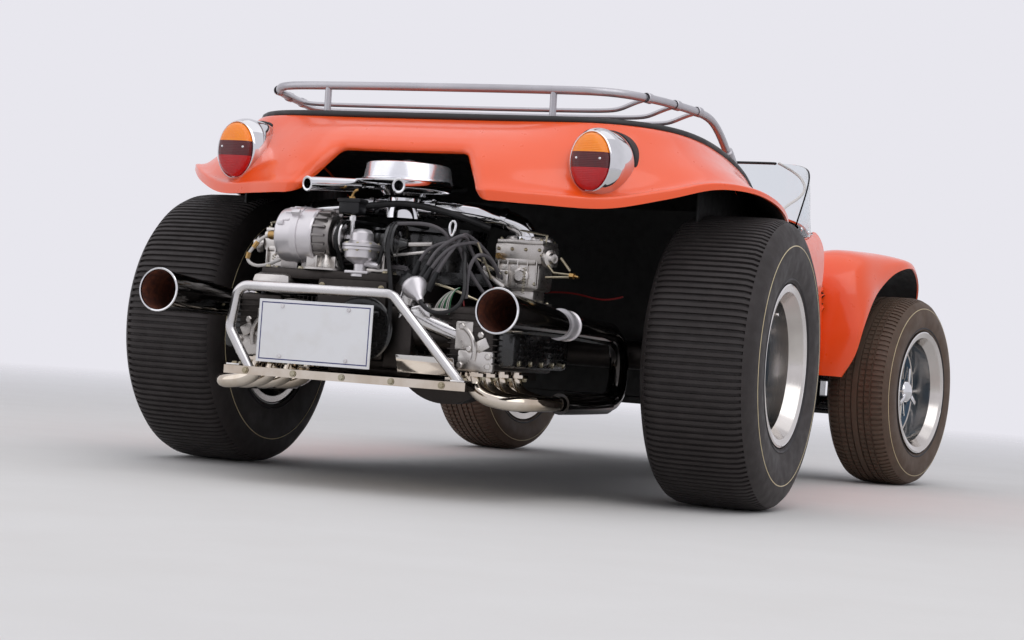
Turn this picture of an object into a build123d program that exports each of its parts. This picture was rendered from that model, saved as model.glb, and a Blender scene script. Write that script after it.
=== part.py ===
from build123d import *
import math
import os

# Row frame: origin on the ground under the middle, front towards -Y, left side towards +X, +Z up, millimetres.
REAR_Y = 764.0
FRONT_Y = -1268.0
REAR_R = 377.0
FRONT_R = 326.0
REAR_X = 738.7
FRONT_OFFSET = 104.6
KINGPIN_X = 640.0
STEER_DEG = -10.2
WALL = 6.0
GAP = 0.3

os.makedirs("parts", exist_ok=True)


def save(part, name):
    """Label a finished solid and write it as its own file."""
    part.label = name
    export_step(part, f"parts/{name}.step")


def inner_line(points, wall):
    """Points of the wall's inner line: each outer point moved to the left of the line's travel by the wall."""
    line = []
    for i, (u, v) in enumerate(points):
        a = points[max(i - 1, 0)]
        b = points[min(i + 1, len(points) - 1)]
        du, dv = b[0] - a[0], b[1] - a[1]
        length = math.hypot(du, dv)
        line.append((u - dv / length * wall, v + du / length * wall))
    return line


def wall_sketch(plane, points, wall):
    """Closed section of a curved wall on a plane: outer spline, inner spline and two short ends."""
    inside = inner_line(points, wall)
    with BuildSketch(plane) as sketch:
        with BuildLine():
            Spline(*points)
            Line(points[-1], inside[-1])
            Spline(*reversed(inside))
            Line(inside[0], points[0])
        make_face()
    return sketch.sketch


def both_sides(half):
    """A left-hand solid together with its mirror image."""
    with BuildPart() as pair:
        add(half)
        mirror(half, about=Plane.YZ)
    return pair.part


def tube_along(points, radius, bore=0.0, straight=False):
    """Round tube along a line of points."""
    with BuildPart() as tube:
        with BuildLine() as path:
            if straight:
                Polyline(*points)
            else:
                Spline(*points)
        start = Plane(origin=path.wire() @ 0, z_dir=path.wire() % 0)
        with BuildSketch(start):
            Circle(radius)
            if bore:
                Circle(bore, mode=Mode.SUBTRACT)
        sweep(transition=Transition.ROUND if straight else Transition.TRANSFORMED)
    return tube.part


# Rear skin from the deck edge to the lip, right round the engine bay, in upright planes.
# Columns: deck edge x, y, z; lip x, y, z; how far the middle bulges out; how far the roll stands in at the top.
REAR_SKIN = [
    (0.0, 1190.0, 926.0, 0.0, 1392.0, 727.0, 30.0),
    (208.0, 1186.0, 925.0, 250.0, 1388.0, 727.0, 30.0),
    (360.0, 1170.0, 924.0, 430.0, 1320.0, 727.0, 22.0),
    (480.0, 1120.0, 923.0, 600.0, 1230.0, 735.0, 18.0),
    (580.0, 1030.0, 922.0, 745.0, 1120.0, 757.0, 20.0),
    (630.0, 920.0, 920.0, 835.0, 970.0, 786.0, 26.0),
    (648.0, 800.0, 916.0, 863.0, 810.0, 797.0, 30.0),
    (650.0, 680.0, 908.0, 850.0, 665.0, 780.0, 30.0),
    (646.0, 560.0, 892.0, 800.0, 535.0, 722.0, 30.0),
    (645.0, 480.0, 874.0, 748.0, 447.0, 640.0, 26.0),
    (646.0, 430.0, 858.0, 712.0, 392.0, 540.0, 20.0),
    (647.0, 395.0, 845.0, 690.0, 372.0, 430.0, 14.0),
    (648.0, 380.0, 838.0, 672.0, 364.0, 330.0, 8.0),
]


def skin_section(edge, lip, bulge, roll=26.0):
    """Upright section through the skin between a deck edge point and a lip point."""
    ex, ey, ez = edge
    lx, ly, lz = lip
    reach = math.hypot(lx - ex, ly - ey)
    plane = Plane(origin=(ex, ey, 0), x_dir=((lx - ex) / reach, (ly - ey) / reach, 0),
                  z_dir=((ly - ey) / reach, -(lx - ex) / reach, 0))
    drop = ez - lz
    points = [
        (-18.0, ez + 1.0),
        (8.0, ez - 4.0),
        (reach * 0.30 + bulge * 0.5, ez - drop * 0.22 + bulge * 0.45),
        (reach * 0.66 + bulge * 0.5, ez - drop * 0.52 + bulge * 0.45),
        (reach * 0.93, ez - drop * 0.80),
        (reach, lz + 16.0),
        (reach + 1.0, lz),
    ]
    return wall_sketch(plane, points, -WALL)



DECK_EDGE = [(row[0], row[1]) for row in REAR_SKIN[:9]]



def all_round(rows):
    """Rows of one side, last first, then the mirrored rows of the other side."""
    other = [(-ex, ey, ez, -lx, ly, lz, bulge) for ex, ey, ez, lx, ly, lz, bulge in rows if ex > 0]
    return rows[::-1] + other


def full_width(points):
    """Outer line of one side made into the whole line, left end to right end."""
    return points[::-1] + [(-x, z) for x, z in points if x > 0]


with BuildPart() as rear_build:
    for row in all_round(REAR_SKIN):
        add(skin_section(row[0:3], row[3:6], row[6]))
    loft()
rear_skin = rear_build.part

# Deck behind the seats: a thin sheet that falls towards the front, trimmed to the deck edge.
with BuildPart() as deck_sheet:
    deck_section = wall_sketch(Plane.YZ, [(330, 866), (400, 884), (560, 900), (800, 914), (1200, 924)], -WALL)
    extrude(deck_section.face(), amount=641, both=True)
with BuildPart() as deck_outline:
    with BuildSketch(Plane.XY.offset(800)):
        with BuildLine():
            Spline(*[(x - 8.0 if x > 300 else x, y - 8.0) for x, y in DECK_EDGE])
            Line((638, 552), (638, 330))
            Line((638, 330), (0, 330))
            Line((0, 330), (0, 1182))
        make_face()
        mirror(about=Plane.YZ)
    extrude(amount=200)
deck = deck_sheet.part & deck_outline.part

# Tub sides, upright sections across the car.
# Columns: y; rail height; x of the rail, the belly and the sill.
TUB_SIDE = [
    (374.0, 845.0, 643.0, 662.0, 592.0),
    (250.0, 806.0, 647.0, 665.0, 586.0),
    (50.0, 775.0, 650.0, 668.0, 580.0),
    (-150.0, 770.0, 650.0, 668.0, 576.0),
    (-330.0, 784.0, 646.0, 666.0, 572.0),
    (-470.0, 812.0, 632.0, 662.0, 568.0),
]


def side_section(y, rail, x_rail, x_belly, x_sill):
    """Section of one tub side from the rolled rail down to the sill."""
    points = [
        (x_rail - 26.0, rail - 12.0),
        (x_rail - 8.0, rail),
        (x_rail + 8.0, rail - 14.0),
        (x_belly, rail - 90.0),
        (x_belly - 6.0, rail - 200.0),
        (x_sill + 34.0, 420.0),
        (x_sill + 6.0, 310.0),
        (x_sill, 262.0),
    ]
    return wall_sketch(Plane(origin=(0, y, 0), x_dir=(1, 0, 0), z_dir=(0, -1, 0)), points, -WALL)


with BuildPart() as side_half:
    for row in TUB_SIDE:
        add(side_section(*row))
    loft()
sides = both_sides(side_half.part)

# Cowl and nose top, upright sections across the car, x and z of the outer line from the middle outwards.
COWL = [
    (-450.0, [(0, 868), (200, 867), (360, 864), (480, 857), (560, 843), (614, 808), (644, 750), (660, 660), (640, 500), (602, 360), (573, 268)]),
    (-700.0, [(0, 852), (190, 851), (330, 846), (430, 832), (500, 808), (552, 765), (588, 700), (604, 600), (600, 480), (584, 360), (565, 268)]),
    (-880.0, [(0, 832), (180, 830), (310, 823), (400, 806), (455, 776), (500, 735), (528, 680), (544, 600), (548, 500), (545, 420), (540, 352)]),
    (-1000.0, [(0, 815), (172, 813), (296, 805), (376, 787), (420, 760), (452, 722), (470, 668), (478, 600), (478, 520), (474, 440), (468, 372)]),
    (-1100.0, [(0, 796), (165, 794), (285, 785), (360, 765), (400, 738), (424, 700), (436, 650), (440, 590), (440, 520), (436, 455), (430, 400)]),
    (-1330.0, [(0, 736), (155, 734), (265, 723), (335, 700), (378, 668), (400, 630), (410, 590), (414, 550), (414, 510), (412, 470), (408, 430)]),
    (-1500.0, [(0, 668), (145, 666), (245, 654), (310, 630), (352, 600), (376, 570), (388, 540), (392, 515), (394, 490), (393, 465), (390, 440)]),
]


def across(y):
    """Upright plane across the car at y, x to the left side, z up."""
    return Plane(origin=(0, y, 0), x_dir=(1, 0, 0), z_dir=(0, -1, 0))


with BuildPart() as cowl:
    for y, points in COWL:
        add(wall_sketch(across(y), full_width(points), WALL))
    loft()
arch_cut = Cylinder(392, 500, rotation=(0, 90, 0))
cowl_skin = cowl.part
for side in (-1, 1):
    cowl_skin = cowl_skin - Pos(side * 694, FRONT_Y, FRONT_R) * arch_cut
# Nose front, from the top edge down to the lip. Columns: top x, y, z; lip x, y, z; bulge.
NOSE_FRONT = [
    (0.0, -1488.0, 674.0, 0.0, -1640.0, 420.0, 46.0),
    (145.0, -1486.0, 672.0, 155.0, -1632.0, 420.0, 46.0),
    (245.0, -1480.0, 662.0, 275.0, -1600.0, 424.0, 40.0),
    (330.0, -1450.0, 636.0, 370.0, -1530.0, 432.0, 26.0),
    (372.0, -1400.0, 610.0, 420.0, -1430.0, 440.0, 16.0),
]
with BuildPart() as nose_front:
    for row in all_round(NOSE_FRONT):
        add(skin_section(row[0:3], row[3:6], row[6]))
    loft()

# Front fender, sections in planes through the front axle line, angle up from the rear.
# Columns: angle; then x and radius of five points from the inner end to the lip.
FENDER = [
    (5.0, [(425, 446), (560, 438), (610, 424), (638, 408), (646, 396)]),
    (28.0, [(425, 494), (580, 502), (655, 485), (715, 448), (728, 428)]),
    (55.0, [(415, 536), (560, 545), (690, 520), (790, 462), (806, 438)]),
    (85.0, [(375, 485), (510, 480), (680, 486), (806, 452), (826, 428)]),
    (112.0, [(360, 430), (490, 436), (670, 462), (796, 440), (818, 418)]),
    (138.0, [(345, 360), (470, 388), (640, 430), (752, 420), (776, 402)]),
]
with BuildPart() as fender_half:
    for angle, points in FENDER:
        a = math.radians(angle)
        plane = Plane(origin=(0, FRONT_Y, FRONT_R), x_dir=(1, 0, 0), z_dir=(0, -math.sin(a), math.cos(a)))
        flipped = plane.y_dir.Z * math.sin(a) + plane.y_dir.Y * math.cos(a)
        add(wall_sketch(plane, [(x, r if flipped > 0 else -r) for x, r in points], -WALL if flipped > 0 else WALL))
    loft()

# Bulkhead behind the seats.
with BuildPart() as bulkhead_sheet:
    with BuildSketch(Plane.YZ.offset(-634)):
        with BuildLine():
            Polyline((336, 872), (296, 600), (270, 262), (264, 262), (290, 600), (328, 872), (336, 872))
        make_face()
    extrude(amount=1268)
with BuildPart() as tub_inside:
    with BuildSketch(across(500)):
        with BuildLine():
            Polyline((-641, 900), (641, 900), (658, 700), (650, 600), (620, 420), (592, 310), (584, 250), (-584, 250),
                     (-592, 310), (-620, 420), (-650, 600), (-658, 700), (-641, 900))
        make_face()
    extrude(amount=600)
bulkhead = bulkhead_sheet.part & tub_inside.part

with BuildPart() as cut_out:
    with BuildSketch(Plane.XZ.offset(-1100)):
        with BuildLine():
            Polyline((-171, 840), (171, 840), (244, 726), (260, 690), (-260, 690), (-244, 726), (-171, 840))
        make_face()
    extrude(amount=-400)
body_shell = (rear_skin + deck + sides + cowl_skin + nose_front.part + both_sides(fender_half.part) + bulkhead)
# The sill is trimmed level along the whole tub.
with BuildPart() as sill_trim:
    with Locations((0, -250, 262)):
        Box(1600, 1300, 80, align=(Align.CENTER, Align.CENTER, Align.MAX))
body_shell = body_shell - cut_out.part - sill_trim.part
body_shell = max(body_shell.solids(), key=lambda solid: solid.volume)
save(body_shell, "body_shell")


def box(x, y, z, sx, sy, sz, round_edges=0.0):
    """Block centred at x, y with its foot at z."""
    with BuildPart() as block:
        with Locations((x, y, z)):
            Box(sx, sy, sz, align=(Align.CENTER, Align.CENTER, Align.MIN))
        if round_edges:
            fillet(block.edges(), round_edges)
    return block.part


def rod(start, end, radius, bore=0.0):
    """Straight round bar or tube between two points."""
    vector = Vector(*end) - Vector(*start)
    with BuildPart() as bar:
        with BuildSketch(Plane(origin=start, z_dir=vector)):
            Circle(radius)
            if bore:
                Circle(bore, mode=Mode.SUBTRACT)
        extrude(amount=vector.length)
    return bar.part


def bent_tube(points, bend, radius):
    """Round tube along straight lines with rounded bends."""
    with BuildPart() as tube:
        with BuildLine() as path:
            FilletPolyline(*points, radius=bend)
        with BuildSketch(Plane(origin=path.wire() @ 0, z_dir=path.wire() % 0)):
            Circle(radius)
        sweep()
    return tube.part


def turned(centre, outward, profile):
    """Round body about an axle: profile points are distance along the axle outwards and radius."""
    plane = Plane(origin=centre, x_dir=outward, z_dir=Vector(*outward).cross(Vector(0, 0, 1)))
    with BuildPart() as round_body:
        with BuildSketch(plane):
            with BuildLine():
                Polyline(*profile, close=True)
            make_face()
        revolve(axis=Axis(centre, outward))
    return round_body.part


# Wheels. Tyre profiles: distance outwards from the wheel's middle, radius.
REAR_TYRE = [(-143, 330), (-139, 358), (-128, 371), (-110, 377), (110, 377), (128, 371), (139, 358), (147, 330),
             (152, 290), (148, 250), (138, 214), (126, 211), (122, 192.3), (-122, 192.3), (-126, 211), (-138, 214),
             (-146, 250), (-149, 290)]
FRONT_TYRE = [(-96, 300), (-91, 316), (-78, 323), (-60, 326), (60, 326), (78, 323), (91, 316), (100, 300),
              (116, 272), (116, 244), (108, 214), (98, 211), (94, 192.3), (-94, 192.3), (-98, 211), (-108, 214),
              (-116, 244), (-116, 272)]
# Rim profiles: barrel with its flanges, then the centre disc and the hub.
REAR_RIM = [(-136, 209), (-128, 209), (-124, 192), (-100, 180), (124, 192), (128, 209), (136, 209), (139, 205),
            (136, 190), (100, 172), (20, 168), (8, 150), (6, 60), (30, 52), (34, 30), (34, 0), (-24, 0), (-24, 60),
            (-8, 66), (-6, 150), (-10, 166), (-96, 172), (-136, 188)]
FRONT_RIM = [(-108, 209), (-100, 209), (-96, 192), (-76, 180), (96, 192), (100, 209), (110, 209), (114, 205),
             (110, 190), (80, 172), (16, 168), (6, 150), (4, 60), (24, 50), (50, 36), (52, 0), (-24, 0), (-24, 60),
             (-10, 66), (-8, 150), (-10, 166), (-74, 172), (-108, 188)]
steer = math.radians(STEER_DEG)
for side, name in ((1, "left"), (-1, "right")):
    centre = (side * REAR_X, REAR_Y, REAR_R)
    save(turned(centre, (side, 0, 0), REAR_TYRE), f"rear_tyre_{name}")
    save(turned(centre, (side, 0, 0), REAR_RIM), f"rear_rim_{name}")
    axle = (side * math.cos(steer), side * math.sin(steer), 0)
    hub = (side * KINGPIN_X + FRONT_OFFSET * axle[0], FRONT_Y + FRONT_OFFSET * axle[1], FRONT_R)
    save(turned(hub, axle, FRONT_TYRE), f"front_tyre_{name}")
    save(turned(hub, axle, FRONT_RIM), f"front_rim_{name}")
    # Knuckle: upright on the kingpin, brake plate behind the wheel, steering arm to the rear.
    kx = side * KINGPIN_X
    upright = box(kx, FRONT_Y, 246, 40, 52, 160)
    plate_centre = (kx + 52 * axle[0], FRONT_Y + 52 * axle[1], FRONT_R)
    plate = turned(plate_centre, axle, [(-40, 0), (20, 0), (20, 60), (4, 110), (-4, 110), (-8, 60), (-40, 40)])
    back = (-axle[1] * side, axle[0] * side)
    arm = rod((kx, FRONT_Y, 264), (kx + 130 * back[0], FRONT_Y + 130 * back[1], 264), 12)
    kingpin = rod((kx, FRONT_Y, 240), (kx, FRONT_Y, 412), 12)
    save(upright + plate + arm + kingpin, f"knuckle_{name}")

# Floor pan with its tunnel.
with BuildPart() as floor_build:
    with BuildSketch(Plane.XY.offset(240)):
        with BuildLine():
            Polyline((-564, 262), (564, 262), (556, -820), (440, -900), (400, -1100), (-400, -1100), (-440, -900),
                     (-556, -820), (-564, 262))
        make_face()
    extrude(amount=18)
    with BuildSketch(Plane.XZ.offset(1098)):
        with BuildLine():
            Polyline((-84, 258), (-70, 372), (-50, 392), (50, 392), (70, 372), (84, 258), (-84, 258))
        make_face()
    extrude(amount=-1350)
save(floor_build.part, "floor_pan")

# Front beam: two cross tubes, end plates and trailing arms, ahead of the axle line.
beam_parts = []
for z in (258, 370):
    beam_parts.append(rod((-500, -1420, z), (500, -1420, z), 30))
for side in (-1, 1):
    beam_parts.append(box(side * 455, -1420, 226, 14, 84, 178))
    for z in (258, 364):
        beam_parts.append(rod((side * 440, -1420, z + 6), (side * 530, -1420, z + 6), 26))
        beam_parts.append(box(side * 530, -1356, z - 12, 26, 172, 36))
    beam_parts.append(box(side * 560, -1270, 254, 86, 30, 134))
beam_parts.append(box(0, -1260, 262, 130, 322, 90))
front_beam = beam_parts[0]
for piece in beam_parts[1:]:
    front_beam = front_beam + piece
save(front_beam, "front_beam")

# Gearbox with its axle tubes and brake plates.
transaxle = box(0, 700, 286, 190, 380, 180) + rod((0, 860, 377), (0, 930, 377), 165)
for side in (-1, 1):
    transaxle = transaxle + rod((side * 60, REAR_Y, REAR_R), (side * 676, REAR_Y, REAR_R), 38)
    transaxle = transaxle + rod((side * 640, REAR_Y, REAR_R), (side * 680, REAR_Y, REAR_R), 122)
    transaxle = transaxle + box(side * 562, 560, 350, 14, 440, 60)
transaxle = transaxle + rod((-576, 352, 380), (576, 352, 380), 34)
save(transaxle, "transaxle")

# Flat-six engine: crankcase and two banks in one block, tin and fan housing on top.
engine = box(0, 1150, 290, 260, 438, 226) + box(0, 1130, 340, 700, 380, 130)
save(engine, "engine_block")
shroud = box(0, 1110, 516.3, 500, 340, 30) + rod((0, 1092, 540), (0, 1092, 660), 150)
save(shroud, "engine_shroud")
cleaner = rod((0, 1244, 735), (0, 1244, 806), 110) + rod((0, 1244, 741), (0, 1244, 752), 134)
cleaner = cleaner + rod((0, 1190, 660.3), (0, 1190, 745), 46)
cleaner = cleaner + rod((100, 1244, 744), (262, 1330, 744), 16.5) + rod((-60, 1300, 744), (-40, 1420, 744), 16.5)
save(cleaner, "air_cleaner")
for side, name in ((1, "left"), (-1, "right")):
    save(box(side * 330, 1214, 470.3, 130, 116, 180), f"carburettor_{name}")
    head = [rod((side * 372, y, 250), (side * 350, y, 334), 20) for y in (990, 1110, 1230)]
    log = rod((side * 372, 950, 250), (side * 372, 1280, 250), 26)
    bend = tube_along([(side * 372, 960, 250), (side * 395, 900, 262), (side * 430, 862, 320), (side * 440, 866, 390),
                       (side * 440, 905, 425)], 26)
    exhaust = log + bend
    for piece in head:
        exhaust = exhaust + piece
    save(exhaust, f"exhaust_{name}")
    with BuildPart() as horn:
        with BuildSketch(Plane(origin=(side * 440, 905.3, 425), z_dir=(0, 1, 0))):
            Circle(31)
            Circle(28.5, mode=Mode.SUBTRACT)
        with BuildSketch(Plane(origin=(side * 440, 1228, 434), z_dir=(0, 1, 0))):
            Circle(31)
            Circle(28.5, mode=Mode.SUBTRACT)
        with BuildSketch(Plane(origin=(side * 440, 1666, 451), z_dir=(0, 1, 0))):
            Circle(51)
            Circle(48.5, mode=Mode.SUBTRACT)
        loft(ruled=True)
    save(horn.part, f"megaphone_{name}")

alternator = rod((165, 1400, 600), (300, 1400, 600), 62) + rod((140, 1400, 600), (165, 1400, 600), 34)
alternator = alternator + box(230, 1400, 516, 60, 44, 50) + box(200, 1385, 480, 200, 30, 38)
save(alternator, "alternator")

hoop = bent_tube([(240, 1523, 250), (320, 1523, 372), (304, 1523, 478), (-110, 1523, 478), (-330, 1523, 250)], 34, 12)
hoop = hoop - box(0, 1523, 200, 900, 60, 82.3)
save(hoop, "bumper_hoop")
tray = box(0, 1508, 262, 640, 60, 20) + box(0, 1250, 262, 500, 500, 8)
tray = tray + box(-200, 1200, 262, 30, 300, 27.7) + box(200, 1200, 262, 30, 300, 27.7)
save(tray, "skid_tray")
save(box(82, 1536.4, 296, 305, 2, 152), "licence_plate")

# Luggage rack.

rack = bent_tube([(-588, 600, 1030), (-592, 1010, 1030), (-440, 1168, 1030), (440, 1168, 1030), (592, 1010, 1030),
                  (588, 600, 1030)], 120, 11)
for side in (-1, 1):
    rack = rack + rod((side * 588, 600, 1030), (side * 620, 470, 910), 11)
    rack = rack + Pos(side * 588, 600, 1030) * Sphere(11)
    rack = rack + rod((side * 318, 1160, 930), (side * 318, 1160, 1030), 11)
for y, x in ((1100, 500), (940, 588), (780, 588)):
    rack = rack + bent_tube([(-x, y, 1030), (-x + 90, y, 996), (x - 90, y, 996), (x, y, 1030)], 40, 6)
save(rack, "luggage_rack")


def outer_piece(piece, along, gap):
    """The part of a piece left outside the body, moved off it by the gap along an axis vector."""
    rest = (piece - body_shell).solids()
    best = max(rest, key=lambda solid: Vector(*along).dot(solid.center()))
    return Pos(*(gap * c for c in along)) * best


# Lamps.
for side, name in ((1, "left"), (-1, "right")):
    with BuildPart() as lamp:
        with BuildSketch(Plane(origin=(side * 489, 1100, 834), x_dir=(1, 0, 0), z_dir=(0, 1, 0))):
            Ellipse(67, 88)
        extrude(amount=140)
    save(outer_piece(lamp.part, (0, 1, 0), GAP), f"tail_lamp_{name}")
    seat = box(side * 312, -50, 258.3, 420, 450, 150, 20) + box(side * 312, 170, 258.3, 420, 90, 520, 20)
    save(seat, f"seat_{name}")

# Windscreen: one curved clear sheet round the cowl, its top falling towards the rear.
SCREEN_BASE = [(650, -120), (652, -300), (628, -430), (540, -560), (400, -620), (200, -645), (0, -650)]
SCREEN_TOP = [(650, -100), (640, -270), (604, -390), (515, -490), (380, -545), (190, -566), (0, -570)]


def sheet_sketch(z, side_points, wall):
    """Level section of the sheet: plan line of one side mirrored to the other."""
    return wall_sketch(Plane.XY.offset(z), side_points + [(-x, y) for x, y in side_points[:-1]][::-1], wall)


with BuildPart() as screen_sheet:
    add(sheet_sketch(720, SCREEN_BASE, -5))
    add(sheet_sketch(1034, SCREEN_TOP, -5))
    loft()
with BuildPart() as screen_side:
    with BuildSketch(Plane.YZ.offset(-700)):
        with BuildLine():
            Spline((-700, 1030), (-480, 1026), (-360, 990), (-250, 920), (-130, 800))
            Line((-130, 800), (-130, 740))
            Line((-130, 740), (-700, 740))
            Line((-700, 740), (-700, 1030))
        make_face()
    extrude(amount=1400)
with BuildPart() as under_rail:
    with BuildSketch(Plane.YZ.offset(-700)):
        with BuildLine():
            Polyline((-60, 700), (-450, 700), (-450, 813), (-330, 786), (-150, 772), (-60, 772), close=True)
        make_face()
    extrude(amount=1400)
with BuildPart() as under_cowl:
    for y, points in COWL:
        line = inner_line(full_width(points), -0.5)
        with BuildSketch(across(y)):
            with BuildLine():
                Spline(*line)
                Line(line[-1], line[0])
            make_face()
    loft()
with BuildPart() as under_front:
    line = inner_line(full_width(COWL[0][1]), -0.5)
    with BuildSketch(across(-449)):
        with BuildLine():
            Spline(*line)
            Line(line[-1], line[0])
        make_face()
    extrude(amount=-60)
screen = (screen_sheet.part & screen_side.part) - under_rail.part - under_cowl.part - under_front.part
screen = max(screen.solids(), key=lambda solid: solid.volume)
save(screen, "windscreen")

wheel_axis = Vector(0, 0.94, 0.34)
centre = Vector(290, -300, 800)
with BuildPart() as rim_ring:
    with BuildSketch(Plane(origin=centre, x_dir=(1, 0, 0), z_dir=wheel_axis.cross(Vector(1, 0, 0)))):
        with Locations((175, 0)):
            Circle(13)
    revolve(axis=Axis(centre, wheel_axis))
ring = turned((290, -300, 800), (0, 0.94, 0.34), [(-8, 162), (0, 170), (8, 162), (8, 188), (0, 192), (-8, 188)])
boss = rod(centre - wheel_axis * 30, centre + wheel_axis * 12, 28)
spokes = box(290, -300, 790, 340, 8, 20)
save(ring + boss + spokes, "steering_wheel")
save(rod(centre - wheel_axis * 30.5, centre - wheel_axis * 560, 14), "steering_column")
dash_line = [(636, 664), (628, 745), (598, 798), (552, 828), (476, 846), (360, 853), (200, 856), (0, 857)]
with BuildPart() as dash:
    with BuildSketch(across(-462)):
        with BuildLine():
            Polyline(*dash_line, *[(-x, z) for x, z in dash_line[:-1]][::-1], close=True)
        make_face()
    extrude(amount=10)
column_way = rod(centre, centre - wheel_axis * 560, 17)
save(dash.part - column_way, "dash_panel")
save(box(0, -100, 392.3, 26, 26, 20) + rod((0, -100, 404), (0, -60, 640), 8), "gear_lever")

# Tie rod across both steering arms, its ball studs just under the arm ends.
arm_end = [(side * KINGPIN_X - 130 * math.sin(steer), FRONT_Y + 130 * math.cos(steer)) for side in (-1, 1)]
tie = rod((arm_end[0][0], arm_end[0][1], 238), (arm_end[1][0], arm_end[1][1], 238), 9)
save(tie, "tie_rod")
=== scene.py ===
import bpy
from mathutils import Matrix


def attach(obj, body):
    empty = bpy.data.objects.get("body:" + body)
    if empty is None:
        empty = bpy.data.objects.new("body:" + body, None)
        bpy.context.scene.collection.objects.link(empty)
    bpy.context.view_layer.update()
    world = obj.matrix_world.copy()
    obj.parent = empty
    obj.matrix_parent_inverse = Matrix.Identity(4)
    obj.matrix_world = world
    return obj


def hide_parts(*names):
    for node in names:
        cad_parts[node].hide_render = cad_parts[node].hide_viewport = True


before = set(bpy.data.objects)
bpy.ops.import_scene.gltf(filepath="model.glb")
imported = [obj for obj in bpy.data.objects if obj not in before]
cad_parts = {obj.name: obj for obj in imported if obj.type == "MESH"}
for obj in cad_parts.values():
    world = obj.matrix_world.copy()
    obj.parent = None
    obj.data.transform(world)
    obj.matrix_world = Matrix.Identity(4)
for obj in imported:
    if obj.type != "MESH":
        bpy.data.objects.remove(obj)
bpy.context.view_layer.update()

import math

import bpy
import bmesh
from mathutils import Matrix, Vector
from mathutils.bvhtree import BVHTree

bl_info = {
    "name": "Dune buggy finish",
    "version": (1, 0, 0),
    "blender": (4, 5, 0),
    "location": "View3D > Sidebar > Buggy",
    "description": "Dresses the dune buggy's frame with tread, trim, wiring and finishes",
    "category": "Object",
}

# Sizes and places of the buggy are in millimetres, and the modelling functions turn them into metres.
# Shaders, settings and the stage use metres. The left side has positive x, the rear positive y.
MM = 1000.0
SIDES = ((1, "left"), (-1, "right"))
TO_LEFT, TO_REAR, UP = Vector((1, 0, 0)), Vector((0, 1, 0)), Vector((0, 0, 1))

# Wheel hubs; the front wheels are steered a little, about their king pins.
REAR_HUB = (738.7, 764, 377)
FRONT_Y = -1268
FRONT_R = 326
KINGPIN_X = 640
FRONT_OFFSET = 104.6
STEER = math.radians(-10.2)

# Main places on the left half, where a part has a twin on the right.
PLATE = (82, 1536, 372)
TAIL_LAMP = (489, 1200, 834)
HEADLAMP = (235, -1560, 590)
HORN_START = (440, 1002, 427.2)
HORN_LINE = Vector((0, 0.99937, 0.0355)).normalized()
HEAD_PORT_X = 286
HEAD_PORTS = (1420, 1342, 1250, 1150)
CARBURETTOR = (322, 1214)
GENERATOR = (-20, 1385, 613)
DASH_Y = -462


# ---------------------------------------------------------------- materials

def colour(r, g, b):
    """A colour given as a paint chart shows it, 0 to 255, made linear."""
    linear = []
    for value in (r, g, b):
        v = value / 255.0
        linear.append(v / 12.92 if v <= 0.04045 else ((v + 0.055) / 1.055) ** 2.4)
    return (*linear, 1.0)


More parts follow.
